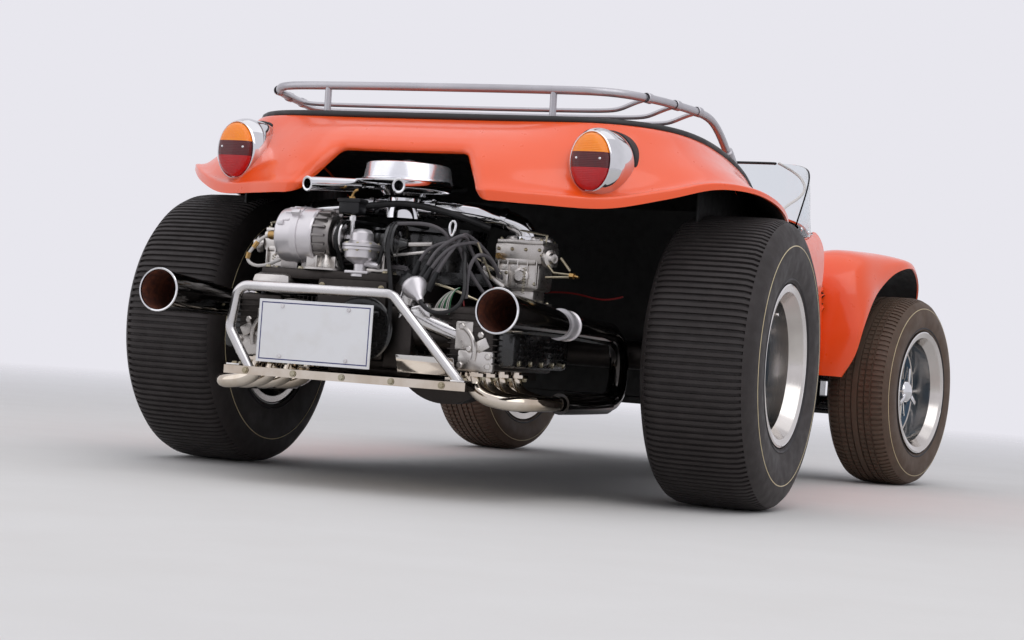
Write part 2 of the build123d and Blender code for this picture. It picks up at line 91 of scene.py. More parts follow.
class Finish:
    """A procedural material under construction: its shader and the nodes that feed it."""

    def __init__(self, name, base, rough, metal=0.0, coat=0.0, coat_rough=0.03, spec=0.5):
        self.material = bpy.data.materials.new(name)
        self.material.use_nodes = True
        self.tree = self.material.node_tree
        self.shader = self.tree.nodes["Principled BSDF"]
        for socket, value in (("Base Color", base), ("Roughness", rough), ("Metallic", metal), ("Coat Weight", coat),
                              ("Coat Roughness", coat_rough), ("Specular IOR Level", spec)):
            self.shader.inputs[socket].default_value = value
        self.place = self.node("ShaderNodeTexCoord").outputs["Object"]
        self.height = None

    def node(self, kind, **settings):
        made = self.tree.nodes.new(kind)
        for key, value in settings.items():
            setattr(made, key, value)
        return made

    def feed(self, socket, value):
        """Set a socket to a number, a colour or the output of another node."""
        if isinstance(value, bpy.types.NodeSocket):
            self.tree.links.new(value, socket)
        else:
            socket.default_value = value

    def math(self, operation, a, b=0.0, c=0.0):
        made = self.node("ShaderNodeMath", operation=operation)
        for socket, value in zip(made.inputs, (a, b, c)):
            self.feed(socket, value)
        return made.outputs[0]

    def vector(self, operation, a, b=(0, 0, 0)):
        made = self.node("ShaderNodeVectorMath", operation=operation)
        self.feed(made.inputs[0], a)
        if operation != "LENGTH":
            self.feed(made.inputs[1], b)
        return made.outputs["Value" if operation in ("LENGTH", "DOT_PRODUCT") else "Vector"]

    def split(self, origin=(0, 0, 0)):
        """The three coordinates of the place, seen from an origin in millimetres."""
        parts = self.node("ShaderNodeSeparateXYZ")
        self.feed(parts.inputs[0], self.vector("SUBTRACT", self.place, tuple(v / MM for v in origin)))
        return parts.outputs

    def noise(self, scale, detail=4.0, rough=0.55):
        made = self.node("ShaderNodeTexNoise")
        self.feed(made.inputs["Vector"], self.place)
        for socket, value in (("Scale", scale), ("Detail", detail), ("Roughness", rough)):
            made.inputs[socket].default_value = value
        return made.outputs["Fac"]

    def cells(self, scale):
        made = self.node("ShaderNodeTexVoronoi")
        self.feed(made.inputs["Vector"], self.place)
        made.inputs["Scale"].default_value = scale
        return made.outputs["Distance"]

    def span(self, value, low, high, out_low=0.0, out_high=1.0):
        made = self.node("ShaderNodeMapRange")
        for socket, number in zip(made.inputs, (value, low, high, out_low, out_high)):
            self.feed(socket, number)
        return made.outputs[0]

    def mix(self, share, a, b):
        made = self.node("ShaderNodeMix", data_type="RGBA")
        for socket, value in (("Factor", share), ("A", a), ("B", b)):
            self.feed(made.inputs[socket], value)
        return made.outputs["Result"]

    def ramp(self, value, stops):
        made = self.node("ShaderNodeValToRGB")
        self.feed(made.inputs["Fac"], value)
        elements = made.color_ramp.elements
        elements[0].position, elements[0].color = stops[0]
        elements[1].position, elements[1].color = stops[-1]
        for position, shade in stops[1:-1]:
            elements.new(position).color = shade
        return made.outputs["Color"]

    def paint(self, value):
        self.feed(self.shader.inputs["Base Color"], value)

    def gloss(self, value):
        self.feed(self.shader.inputs["Roughness"], value)

    def bump(self, value, depth, strength=1.0):
        made = self.node("ShaderNodeBump")
        made.inputs["Strength"].default_value = strength
        made.inputs["Distance"].default_value = depth
        self.feed(made.inputs["Height"], value)
        if self.height:
            self.feed(made.inputs["Normal"], self.height)
        self.height = made.outputs["Normal"]
        self.feed(self.shader.inputs["Normal"], self.height)

    def axle(self, centre, axis):
        """Distance from an axle and distance along it, in metres."""
        away = self.vector("SUBTRACT", self.place, centre)
        along = self.vector("DOT_PRODUCT", away, axis)
        line = self.node("ShaderNodeVectorMath", operation="SCALE")
        line.inputs[0].default_value = axis
        self.feed(line.inputs["Scale"], along)
        return self.vector("LENGTH", self.vector("SUBTRACT", away, line.outputs["Vector"])), along

    def fade(self, near, far):
        """Let the surface go clear with the distance from the origin."""
        clear = self.node("ShaderNodeBsdfTransparent")
        blend = self.node("ShaderNodeMixShader")
        self.feed(blend.inputs[0], self.span(self.vector("LENGTH", self.place), near, far))
        self.feed(blend.inputs[1], self.shader.outputs[0])
        self.feed(blend.inputs[2], clear.outputs[0])
        self.feed(self.tree.nodes["Material Output"].inputs["Surface"], blend.outputs[0])


MATERIALS = {}

# Colour, roughness, grain of the surface, share of dust.
RUBBERS = {
    "tyre_rubber": ((46, 41, 40), 0.62, 180, 0.35),
    "front_rubber": ((84, 68, 56), 0.62, 220, 0.3),
    "sidewall_rubber": ((40, 37, 39), 0.48, 90, 0.22),
    "hose_rubber": ((26, 25, 26), 0.5, 300, 0.25),
    "lead_rubber": ((84, 80, 82), 0.36, 300, 0.25),
    "black_plastic": ((20, 20, 22), 0.38, 400, 0.15),
    "dial_face": ((16, 16, 18), 0.3, 60, 0.1),
    "carpet": ((34, 32, 33), 0.9, 500, 0.4),
    "pale_trim": ((206, 200, 194), 0.45, 200, 0.2),
    "wall_line": ((206, 188, 150), 0.4, 200, 0.2),
    "wire_green": ((58, 116, 78), 0.42, 200, 0.1),
    "wire_white": ((198, 194, 186), 0.42, 200, 0.1),
    "wire_red": ((112, 22, 22), 0.42, 200, 0.1),
}

# Colour, roughness and its spread, grain, bump, metallic share, colour of the dull patches.
METALS = {
    "chrome": ((222, 222, 224), 0.05, 0.03, 24, 0.04, 1.0, None),
    "warm_chrome": ((214, 204, 190), 0.09, 0.05, 24, 0.06, 1.0, (150, 122, 84)),
    "lid_chrome": ((236, 236, 240), 0.22, 0.05, 30, 0.03, 0.75, None),
    "black_chrome": ((30, 27, 26), 0.1, 0.06, 20, 0.08, 0.9, (66, 58, 50)),
    "cast_aluminium": ((206, 202, 198), 0.34, 0.1, 200, 0.3, 1.0, (120, 112, 104)),
    "satin_aluminium": ((214, 212, 212), 0.24, 0.06, 60, 0.08, 1.0, None),
    "polished_aluminium": ((224, 222, 220), 0.13, 0.05, 60, 0.06, 1.0, None),
    "generator_silver": ((214, 210, 212), 0.34, 0.06, 40, 0.05, 0.7, None),
    "silver_paint": ((182, 180, 184), 0.34, 0.07, 70, 0.12, 0.75, None),
    "vane_grey": ((138, 134, 132), 0.36, 0.08, 90, 0.1, 1.0, None),
    "dark_casting": ((66, 62, 60), 0.45, 0.12, 200, 0.4, 1.0, (30, 27, 25)),
    "zinc": ((176, 170, 150), 0.32, 0.08, 120, 0.2, 1.0, (140, 116, 70)),
    "brass": ((168, 136, 88), 0.3, 0.08, 120, 0.2, 1.0, None),
}


def make_rubber(name, shade, rough, grain, dust):
    shade = colour(*shade)
    made = Finish(name, shade, rough, spec=0.35)
    light = tuple(min(1.0, c * 2.1 + 0.012) for c in shade[:3]) + (1.0,)
    made.paint(made.mix(made.span(made.noise(14.0, 8.0, 0.68), 0.42, 0.78, 0.0, dust), shade, light))
    made.gloss(made.span(made.noise(30.0, 6.0), 0.3, 0.7, rough - 0.1, rough + 0.12))
    made.bump(made.noise(grain, 6.0, 0.7), 0.0006, 0.45)
    return made


def make_metal(name, shade, rough, spread, grain, bump, metal, dull):
    shade = colour(*shade)
    dull = colour(*dull) if dull else tuple(c * 0.72 for c in shade[:3]) + (1.0,)
    made = Finish(name, shade, rough, metal=metal)
    worn = made.noise(grain, 6.0, 0.6)
    made.paint(made.mix(made.span(made.noise(7.0, 4.0), 0.45, 0.8, 0.0, 0.7), shade, dull))
    made.gloss(made.span(worn, 0.3, 0.75, max(0.02, rough - spread), rough + spread))
    made.bump(worn, 0.0004, bump)
    return made


def make_gelcoat():
    orange = colour(250, 92, 26)
    made = Finish("gelcoat_orange", orange, 0.3, coat=0.5, coat_rough=0.08)
    made.paint(made.mix(made.noise(2.2, 3.0), orange, colour(242, 78, 16)))
    made.gloss(made.span(made.noise(34.0, 5.0), 0.3, 0.75, 0.27, 0.38))
    made.bump(made.noise(260.0, 2.0), 0.0002, 0.10)
    return made


def make_underside():
    made = Finish("underside_black", colour(14, 13, 13), 0.55)
    made.paint(made.mix(made.noise(6.0, 5.0), colour(7, 6, 6), colour(22, 20, 19)))
    made.gloss(made.span(made.noise(40.0, 5.0), 0.3, 0.7, 0.42, 0.7))
    made.bump(made.noise(120.0, 6.0, 0.7), 0.0015, 0.5)
    return made


def make_enamel():
    made = Finish("black_enamel", colour(9, 9, 10), 0.22, coat=0.5, coat_rough=0.08)
    made.paint(made.mix(made.noise(11.0, 5.0), colour(6, 6, 7), colour(20, 19, 19)))
    made.gloss(made.span(made.noise(60.0, 5.0), 0.3, 0.7, 0.16, 0.36))
    made.bump(made.noise(90.0, 5.0), 0.0005, 0.2)
    return made


def make_rusty_bore():
    made = Finish("rusty_bore", colour(74, 34, 20), 0.85)
    made.paint(made.ramp(made.noise(60.0, 8.0, 0.7), [(0.25, colour(24, 12, 9)), (0.5, colour(78, 36, 20)),
                                                      (0.75, colour(120, 62, 34))]))
    made.bump(made.noise(220.0, 6.0, 0.7), 0.001, 0.6)
    return made


def make_vinyl():
    made = Finish("black_vinyl", colour(24, 22, 23), 0.46, spec=0.45)
    made.paint(made.mix(made.noise(9.0, 5.0), colour(16, 15, 16), colour(40, 37, 38)))
    made.gloss(made.span(made.noise(26.0, 4.0), 0.3, 0.7, 0.36, 0.56))
    made.bump(made.cells(620.0), 0.0006, 0.5)
    return made


def make_acrylic():
    made = Finish("clear_acrylic", colour(236, 240, 242), 0.04)
    made.shader.inputs["Transmission Weight"].default_value = 1.0
    made.shader.inputs["IOR"].default_value = 1.12
    made.gloss(made.span(made.noise(18.0, 5.0), 0.45, 0.8, 0.02, 0.09))
    return made


def make_lamp_glass():
    """Headlamp glass with upright flutes."""
    made = Finish("lamp_glass", colour(226, 230, 232), 0.08, metal=0.35, coat=1.0)
    made.paint(made.mix(made.noise(24.0, 3.0), colour(228, 232, 236), colour(188, 194, 200)))
    made.bump(made.math("SINE", made.math("MULTIPLY", made.split()[0], 900.0)), 0.0012, 0.7)
    made.gloss(made.span(made.noise(30.0, 4.0), 0.3, 0.7, 0.05, 0.14))
    return made


def make_plate():
    """Blank white plate with a thin blue line round it."""
    made = Finish("plate_enamel", colour(226, 224, 222), 0.35)
    parts = made.split(PLATE)
    x, z = (made.math("ABSOLUTE", parts[i]) for i in (0, 2))
    edge = made.math("MAXIMUM", made.math("SUBTRACT", x, 0.1525), made.math("SUBTRACT", z, 0.076))
    line = made.math("COMPARE", edge, -0.0080, 0.0014)
    dirt = made.mix(made.span(made.noise(12.0, 7.0), 0.45, 0.9), colour(232, 231, 232), colour(218, 214, 210))
    made.paint(made.mix(line, dirt, colour(40, 42, 104)))
    made.bump(made.math("COMPARE", edge, -0.004, 0.003), 0.001, 0.6)
    return made


def make_lens(side, name):
    """Rear lens: amber top, deep red middle and bright red lower part, with fine prisms; the amber top and the red
    lower part carry a faint painted glow.
    """
    made = Finish(f"lens_{name}", colour(190, 30, 20), 0.2, coat=0.4, coat_rough=0.08, spec=0.35)
    x, _, z = made.split((side * TAIL_LAMP[0], 1270, 832))
    amber = made.math("GREATER_THAN", z, 0.0240)
    middle = made.math("COMPARE", z, 0.0050, 0.0190)
    low, dark, top = (made.mix(made.noise(60.0, 4.0), colour(*a), colour(*b)) for a, b in (
        ((184, 12, 22), (150, 8, 16)), ((96, 8, 18), (72, 6, 14)), ((250, 146, 30), (240, 122, 22))))
    made.paint(made.mix(amber, made.mix(middle, low, dark), top))
    flutes = made.math("SINE", made.math("MULTIPLY", x, 2200.0))
    rows = made.math("SINE", made.math("MULTIPLY", z, 1500.0))
    made.bump(made.math("ADD", flutes, rows), 0.0005, 0.5)
    made.bump(made.math("COMPARE", z, 0.0240, 0.0012), 0.0016, 0.8)
    # Painted glow: the amber top and the lower red part shine a little by themselves, though no lamp lights them.
    painted_glow = made.math("MULTIPLY", made.math("SUBTRACT", 1.0, middle), 0.14)
    made.feed(made.shader.inputs["Emission Color"], made.mix(amber, colour(190, 8, 14), colour(255, 140, 20)))
    made.feed(made.shader.inputs["Emission Strength"], painted_glow)
    return made


def wheel_place(key, side):
    """Hub centre and outward axle of a wheel."""
    if key == "rear":
        return Vector((side * REAR_HUB[0], REAR_HUB[1], REAR_HUB[2])), Vector((side, 0, 0))
    axle = Vector((side * math.cos(STEER), side * math.sin(STEER), 0))
    return Vector((side * KINGPIN_X, FRONT_Y, FRONT_R)) + FRONT_OFFSET * axle, axle


def make_rim(key, side, name):
    """Turned silver rim with a blue-grey middle."""
    centre, axle = wheel_place(key, side)
    made = Finish(f"{key}_rim_{name}", colour(218, 214, 210), 0.2, metal=1.0)
    radius, along = made.axle(centre / MM, axle)
    spiral = made.node("ShaderNodeCombineXYZ")
    made.feed(spiral.inputs[0], made.math("MULTIPLY", radius, 900.0))
    made.feed(spiral.inputs[1], made.math("MULTIPLY", along, 900.0))
    turning = made.node("ShaderNodeTexNoise", noise_dimensions="2D")
    made.feed(turning.inputs["Vector"], spiral.outputs[0])
    turning.inputs["Scale"].default_value = 1.0
    disc = made.math("MULTIPLY", made.math("LESS_THAN", radius, 0.1635), made.math("GREATER_THAN", along, -0.004))
    blue = made.mix(made.noise(20.0, 5.0), colour(66, 92, 112), colour(44, 64, 82))
    silver = made.mix(made.noise(9.0, 4.0), colour(226, 222, 218), colour(176, 170, 164))
    made.paint(made.mix(disc, silver, blue))
    lathe_marks = made.span(turning.outputs["Fac"], 0.3, 0.7, 0.1, 0.24)
    made.gloss(made.math("ADD", lathe_marks, made.math("MULTIPLY", disc, 0.25)))
    made.feed(made.shader.inputs["Metallic"], made.math("SUBTRACT", 1.0, made.math("MULTIPLY", disc, 0.55)))
    made.bump(turning.outputs["Fac"], 0.0002, 0.2)
    return made


def make_all_materials():
    made = {key: make_rubber(key, *row) for key, row in RUBBERS.items()}
    made.update({key: make_metal(key, *row) for key, row in METALS.items()})
    made["black_chrome"].shader.inputs["Coat Weight"].default_value = 0.6
    made["dial_face"].shader.inputs["Coat Weight"].default_value = 0.6
    made["front_rubber"].bump(made["front_rubber"].cells(90.0), 0.0008, 0.3)
    made.update(gelcoat=make_gelcoat(), underside=make_underside(), black_enamel=make_enamel(),
                rusty_bore=make_rusty_bore(), black_vinyl=make_vinyl(), clear_acrylic=make_acrylic(),
                lamp_glass=make_lamp_glass(), plate=make_plate())
    for side, name in SIDES:
        made[f"lens_{name}"] = make_lens(side, name)
        for key in ("rear", "front"):
            made[f"{key}_rim_{name}"] = make_rim(key, side, name)
    MATERIALS.update({key: finish.material for key, finish in made.items()})


# ---------------------------------------------------------------- modelling

def deselect():
    if bpy.context.mode != "OBJECT":
        bpy.ops.object.mode_set(mode="OBJECT")
    bpy.ops.object.select_all(action="DESELECT")


def activate(*objects):
    deselect()
    for obj in objects:
        obj.select_set(True)
    bpy.context.view_layer.objects.active = objects[0]


def edit(obj):
    """Open an object's mesh for editing with all of it selected."""
    activate(obj)
    bpy.ops.object.mode_set(mode="EDIT")
    bpy.ops.mesh.select_all(action="SELECT")


def new_object(name, data):
    obj = bpy.data.objects.new(name, data)
    bpy.context.scene.collection.objects.link(obj)
    return obj


def coat(key, *pieces):
    """Give pieces a finish and hand them on as a list."""
    for piece in pieces:
        piece.data.materials.clear()
        piece.data.materials.append(MATERIALS[key])
    return list(pieces)


def joined(pieces, name, body="chassis", angle=35.0, instead_of=None):
    """Make parts one named piece that rides on a body and, if asked, shows in place of a node."""
    activate(*pieces)
    if len(pieces) > 1:
        bpy.ops.object.join()
    obj = pieces[0]
    obj.name = obj.data.name = name
    bpy.ops.object.transform_apply(location=True, rotation=True, scale=True)
    bpy.ops.object.shade_smooth_by_angle(angle=math.radians(angle))
    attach(obj, body)
    if instead_of:
        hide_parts(instead_of)
    return obj


def turned(profile, centre, axis, steps=32):
    """A lathe-turned piece: profile points give the distance along the axis and the radius."""
    axis = Vector(axis).normalized()
    sideways = axis.orthogonal().normalized()
    centre = Vector(centre) / MM
    points = [centre + axis * (a / MM) + sideways * max(r / MM, 0.00002) for a, r in profile]
    points.append(points[0])
    deselect()
    bpy.ops.mesh.primitive_plane_add(size=0.001, location=(0, 0, 0))
    obj = bpy.context.object
    bpy.ops.object.mode_set(mode="EDIT")
    bpy.ops.mesh.select_all(action="SELECT")
    bpy.ops.mesh.merge(type="CENTER")
    bpy.ops.transform.translate(value=points[0])
    for before, after in zip(points, points[1:]):
        bpy.ops.mesh.extrude_region_move(TRANSFORM_OT_translate={"value": after - before})
    bpy.ops.mesh.select_all(action="SELECT")
    bpy.ops.mesh.spin(steps=steps, angle=math.tau, center=centre, axis=axis)
    bpy.ops.mesh.select_all(action="SELECT")
    bpy.ops.mesh.remove_doubles(threshold=0.00005)
    bpy.ops.mesh.normals_make_consistent(inside=False)
    bpy.ops.object.mode_set(mode="OBJECT")
    return obj


def disc(radius, height, centre, axis=UP, steps=32, start=0):
    """A plain round or, with six steps, hexagonal boss that stands on a place."""
    return turned([(start, 0), (start, radius), (start + height, radius), (start + height, 0)], centre, axis, steps)


def hose(points, radius, sides=10, smooth=True, cyclic=False, detail=8):
    """A round hose, rod or wire along a line of points."""
    deselect()
    curve = bpy.data.curves.new("path", "CURVE")
    curve.dimensions = "3D"
    curve.bevel_depth = radius / MM
    curve.bevel_resolution = max(1, sides // 4)
    curve.use_fill_caps = True
    curve.resolution_u = detail
    line = curve.splines.new("NURBS" if smooth else "POLY")
    line.points.add(len(points) - 1)
    for spot, point in zip(line.points, points):
        spot.co = (*(Vector(point) / MM), 1.0)
    if smooth:
        line.order_u = min(4, len(points))
        line.use_endpoint_u = not cyclic
    line.use_cyclic_u = cyclic
    activate(new_object("path", curve))
    bpy.ops.object.convert(target="MESH")
    return bpy.context.object


def rod(start, end, radius, sides=8):
    return hose([start, end], radius, sides, smooth=False)


def brick(centre, size, bevel=1.0, turn=None):
    """A block with bevelled edges, turned about its own centre if asked."""
    deselect()
    bpy.ops.mesh.primitive_cube_add(size=1.0, location=(0, 0, 0))
    obj = bpy.context.object
    edit(obj)
    bpy.ops.transform.resize(value=Vector(size) / MM, center_override=(0, 0, 0))
    if bevel:
        bpy.ops.mesh.bevel(offset=bevel / MM, segments=2, affect="EDGES")
    bpy.ops.object.mode_set(mode="OBJECT")
    place = Matrix.Translation(Vector(centre) / MM)
    obj.data.transform(place @ turn.to_4x4() if turn else place)
    return obj


def turn_about(axis, radians):
    return Matrix.Rotation(radians, 3, axis)


def egg(rings, centre, steps=56):
    """A closed oval piece on a line towards the rear: rings give the distance, half width and half height."""
    corners = [Vector((wide * math.cos(a), y, high * math.sin(a))) + Vector(centre)
               for y, wide, high in rings for a in (math.tau * step / steps for step in range(steps))]
    last = (len(rings) - 1) * steps
    faces = [(i + step, i + (step + 1) % steps, i + steps + (step + 1) % steps, i + steps + step)
             for i in range(0, last, steps) for step in range(steps)]
    faces += [tuple(range(steps)), tuple(range(last + steps - 1, last - 1, -1))]
    mesh = bpy.data.meshes.new("egg")
    mesh.from_pydata([corner / MM for corner in corners], [], faces)
    obj = new_object("egg", mesh)
    edit(obj)
    bpy.ops.mesh.normals_make_consistent(inside=False)
    bpy.ops.object.mode_set(mode="OBJECT")
    return obj


def copies(pattern, spots):
    """The pattern modelled at the origin along Z, set at each spot (point, axis) with its own mesh."""
    made = []
    for point, axis in spots:
        twin = new_object(pattern.name, pattern.data.copy())
        turn = UP.rotation_difference(Vector(axis).normalized()).to_matrix().to_4x4()
        twin.data.transform(Matrix.Translation(Vector(point) / MM) @ turn)
        made.append(twin)
    activate(pattern)
    bpy.ops.object.delete()
    return made


def bolt(radius, height):
    """Hexagon head on its washer, at the origin along Z."""
    head = turned([(0.8, 0), (0.8, radius), (height * 0.8, radius), (height, radius * 0.82), (height, 0)],
                  (0, 0, 0), UP, 6)
    activate(head, disc(radius * 1.35, 1.2, (0, 0, 0), UP, 14))
    bpy.ops.object.join()
    return head


def screw(radius, height):
    """Round head, at the origin along Z."""
    return turned([(0, 0), (0, radius), (height * 0.5, radius * 0.92), (height, radius * 0.5), (height, 0)],
                  (0, 0, 0), UP, 16)


def spread(count, across, up, start=0.0, pitch=None):
    """Directions round a circle, from a start angle and with a pitch in degrees."""
    for step in range(count):
        a = math.radians(start + (360.0 / count if pitch is None else pitch) * step)
        yield across * math.cos(a) + up * math.sin(a)


def mirrored(side, points):
    return [(side * x, y, z) for x, y, z in points]


def surface_of(name):
    """Surface of a frame node, for laying trim on it."""
    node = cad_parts[name]
    return BVHTree.FromPolygons([node.matrix_world @ v.co for v in node.data.vertices],
                                [tuple(p.vertices) for p in node.data.polygons])


# ---------------------------------------------------------------- finishes of the frame's own nodes

NODE_FINISHES = {
    "body_shell": "gelcoat",
    "windscreen": "clear_acrylic",
    "dash_panel": "black_vinyl",
    "floor_pan": "underside",
    "knuckle_left": "dark_casting",
    "knuckle_right": "dark_casting",
    "transaxle": "dark_casting",
    "engine_block": "cast_aluminium",
    "air_cleaner": "chrome",
    "alternator": "satin_aluminium",
    "carburettor_left": "cast_aluminium",
    "carburettor_right": "cast_aluminium",
    "exhaust_left": "warm_chrome",
    "exhaust_right": "warm_chrome",
    "megaphone_left": "black_chrome",
    "megaphone_right": "black_chrome",
    "bumper_hoop": "satin_aluminium",
    "skid_tray": "warm_chrome",
    "licence_plate": "plate",
    "luggage_rack": "silver_paint",
    "tail_lamp_left": "chrome",
    "tail_lamp_right": "chrome",
    "seat_left": "black_vinyl",
    "seat_right": "black_vinyl",
    "steering_wheel": "black_plastic",
    "gear_lever": "chrome",
}


class FinishSettings(bpy.types.PropertyGroup):
    """Sizes of the dressed buggy that a user would change."""

    rib_count: bpy.props.IntProperty(name="Rear ribs", description="Cross ribs round each rear tyre", default=136)
    rib_depth: bpy.props.FloatProperty(name="Rib depth", description="Depth of the grooves between the ribs",
                                       default=0.006, unit="LENGTH")
    sipe_count: bpy.props.IntProperty(name="Front sipes", description="Cross cuts round each front tyre", default=110)


class BUGGY_OT_finishes(bpy.types.Operator):
    """Give every node of the frame its finish"""

    bl_idname = "buggy.finishes"
    bl_label = "Frame finishes"

    def execute(self, context):
        make_all_materials()
        for name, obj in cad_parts.items():
            key = NODE_FINISHES.get(name, "black_enamel")
            if "_tyre_" in name:
                key = "tyre_rubber"
            if "_rim_" in name:
                key = name
            coat(key, obj)
        return {"FINISHED"}


# ---------------------------------------------------------------- body

# Rear skin from the deck edge to the lip, right round the engine bay.
# Columns: deck edge x, y, z; lip x, y, z; bulge of the middle off the chord; height of the rolled band at the lip.
REAR_SKIN = [
    (0, 1142, 940, 0, 1385, 721, 34, 24),
    (208, 1142, 940, 250, 1383, 721, 34, 24),
    (330, 1136, 941, 380, 1340, 719, 26, 25),
    (440, 1112, 943, 530, 1255, 722, 12, 24),
    (530, 1052, 944, 650, 1155, 758, 4, 20),
    (592, 950, 943, 738, 1045, 796, -2, 14),
    (622, 830, 937, 800, 925, 802, -6, 10),
    (636, 700, 924, 826, 790, 788, -8, 10),
    (642, 580, 906, 820, 640, 762, -8, 12),
    (645, 490, 886, 790, 510, 728, -4, 14),
    (646, 440, 868, 748, 430, 636, 0, 16),
    (647, 405, 852, 712, 388, 520, 4, 16),
    (648, 391, 844, 688, 373, 420, 6, 16),
    (649, 380, 836, 670, 364, 330, 8, 16),
]

# Deck behind the seats. Columns: y, z, half width.
DECK = [
    (337, 796.5, 612), (380, 822, 618), (405, 838, 630), (440, 854, 640), (490, 872, 642),
    (580, 892, 640), (700, 910, 634), (830, 923, 620), (950, 929, 590), (1052, 930, 528),
    (1100, 930, 466), (1126, 928, 390), (1139, 926, 290), (1142, 926, 200),
]

# Front fender, sections in planes through the front axle line, angle up from the rear.
# Columns: angle; then x and radius of six points from the inner end to the lip.
FENDER = [
    (5, [(425, 402), (500, 400), (560, 398), (612, 394), (640, 388), (648, 378)]),
    (16, [(425, 428), (500, 427), (575, 425), (640, 418), (678, 408), (690, 398)]),
    (28, [(425, 470), (505, 470), (585, 468), (660, 458), (700, 446), (712, 430)]),
    (42, [(422, 512), (500, 530), (590, 538), (670, 520), (712, 470), (722, 428)]),
    (55, [(412, 485), (490, 533), (575, 554), (680, 530), (722, 460), (730, 418)]),
    (70, [(375, 415), (475, 476), (580, 501), (690, 492), (742, 460), (756, 426)]),
    (85, [(350, 372), (455, 438), (570, 468), (690, 471), (768, 455), (784, 430)]),
    (100, [(335, 350), (445, 421), (560, 455), (690, 464), (770, 450), (786, 426)]),
    (118, [(320, 330), (435, 398), (550, 432), (670, 444), (760, 436), (776, 414)]),
    (138, [(320, 315), (425, 368), (530, 398), (640, 418), (730, 412), (748, 396)]),
]

# Opening over the engine in x and z: lean of its side, its upper corner, then the middle, the radius and the first
# angle of the round at the top and of the one at the foot, and the angle that both turn through.
BAY_LEAN = Vector((0.843, 0.538))
BAY_CORNER = Vector((172, 841))
BAY_TOP, TOP_RADIUS, TOP_START = Vector((156.7, 813)), 28, 32.5
BAY_FOOT, FOOT_RADIUS, FOOT_START = Vector((275.7, 771.5)), 50, 212.5
BAY_SWEEP = 57.5
BAY_SIDE, BAY_FRONT = 360, 1130

# Half width of the front body over y.
COWL_WIDTH = [(-1700, 380), (-1500, 394), (-1330, 414), (-1100, 440), (-1000, 478), (-880, 548), (-700, 604),
              (-450, 660)]


def flowing(points, steps):
    """A line of points made smooth, passing through every one of them."""
    line = []
    last = len(points) - 1
    for i in range(last):
        a, b = Vector(points[max(i - 1, 0)]), Vector(points[i])
        c, d = Vector(points[i + 1]), Vector(points[min(i + 2, last)])
        for step in range(steps):
            t = step / steps
            curve = 2 * b + (c - a) * t + (2 * a - 5 * b + 4 * c - d) * t * t + (3 * b - a - 3 * c + d) * t ** 3
            line.append(0.5 * curve)
    return line + [Vector(points[last])]


def lofted(rows, along=3, across=6):
    """A smooth sheet through rows of points."""
    lines = [flowing(row, along) for row in rows]
    columns = [flowing([line[i] for line in lines], across) for i in range(len(lines[0]))]
    high, wide = len(columns), len(columns[0])
    quads = [(j * wide + k, j * wide + k + 1, (j + 1) * wide + k + 1, (j + 1) * wide + k)
             for j in range(high - 1) for k in range(wide - 1)]
    mesh = bpy.data.meshes.new("sheet")
    mesh.from_pydata([point / MM for column in columns for point in column], [], quads)
    return new_object("sheet", mesh)


def skin_row(row):
    """Section of the skin from the inward flange under the deck edge, over the edge and down to the lip."""
    ex, ey, ez, lx, ly, lz, bulge, band = row
    reach = math.hypot(lx - ex, ly - ey)
    dx, dy = (lx - ex) / reach, (ly - ey) / reach
    drop = ez - lz
    chord = math.hypot(reach, drop)
    line = [(-26, ez - 26), (-17, ez - 12), (-3, ez), (12, ez - 3.5) if reach > 60 else (6, ez - 12)]
    for share, rise in ((0.30, 0.9), (0.62, 1.0), (0.84, 0.62)):
        line.append((reach * share + drop / chord * bulge * rise, ez - drop * share + reach / chord * bulge * rise))
    line += [(reach - 3, lz + band + 4), (reach + 0.5, lz + band - 5), (reach + 1, lz)]
    return [(ex + dx * u, ey + dy * u, z) for u, z in line]


def bay_distance(x, z):
    """How far a point of the skin lies off the edge of the opening over the engine, and how strongly it rolls in."""
    spot = Vector((abs(x), z))
    foot = spot - BAY_FOOT
    turn = math.degrees(math.atan2(foot.y, foot.x)) % 360.0
    if turn > FOOT_START + BAY_SWEEP:
        return FOOT_RADIUS, 0.0
    if turn > FOOT_START:
        share = (turn - FOOT_START) / BAY_SWEEP
        return FOOT_RADIUS - foot.length, 1.0 - share * share * (3 - 2 * share)
    high = spot - BAY_TOP
    if high.y > 0 and high.x > 0 and math.degrees(math.atan2(high.y, high.x)) > TOP_START:
        return high.length - TOP_RADIUS, 1.0
    return max(z - BAY_CORNER.y, BAY_LEAN.dot(spot - BAY_CORNER)), 1.0


def bay_cuts():
    """Planes that cut the opening's edge and the lines beside it into the skin: point, normal, middle of the cut."""
    planes = []
    for off in (0, 4, 10, 18, 28, 40):
        planes.append(((0, BAY_CORNER.y + off), (0, 1), None))
        spot = BAY_CORNER + BAY_LEAN * off
        planes += [((side * spot.x, spot.y), (side * BAY_LEAN.x, BAY_LEAN.y), None) for side, _ in SIDES]
        for step in range(1, 6) if off < 20 else ():
            for side, _ in SIDES:
                for middle, radius, start in ((BAY_TOP, TOP_RADIUS + off, TOP_START),
                                              (BAY_FOOT, FOOT_RADIUS - off, FOOT_START)):
                    a = math.radians(start + BAY_SWEEP * step / 6)
                    out = Vector((math.cos(a), math.sin(a)))
                    spot = middle + out * radius
                    planes.append(((side * spot.x, spot.y), (side * out.x, out.y), (side * middle.x, middle.y)))
    return planes


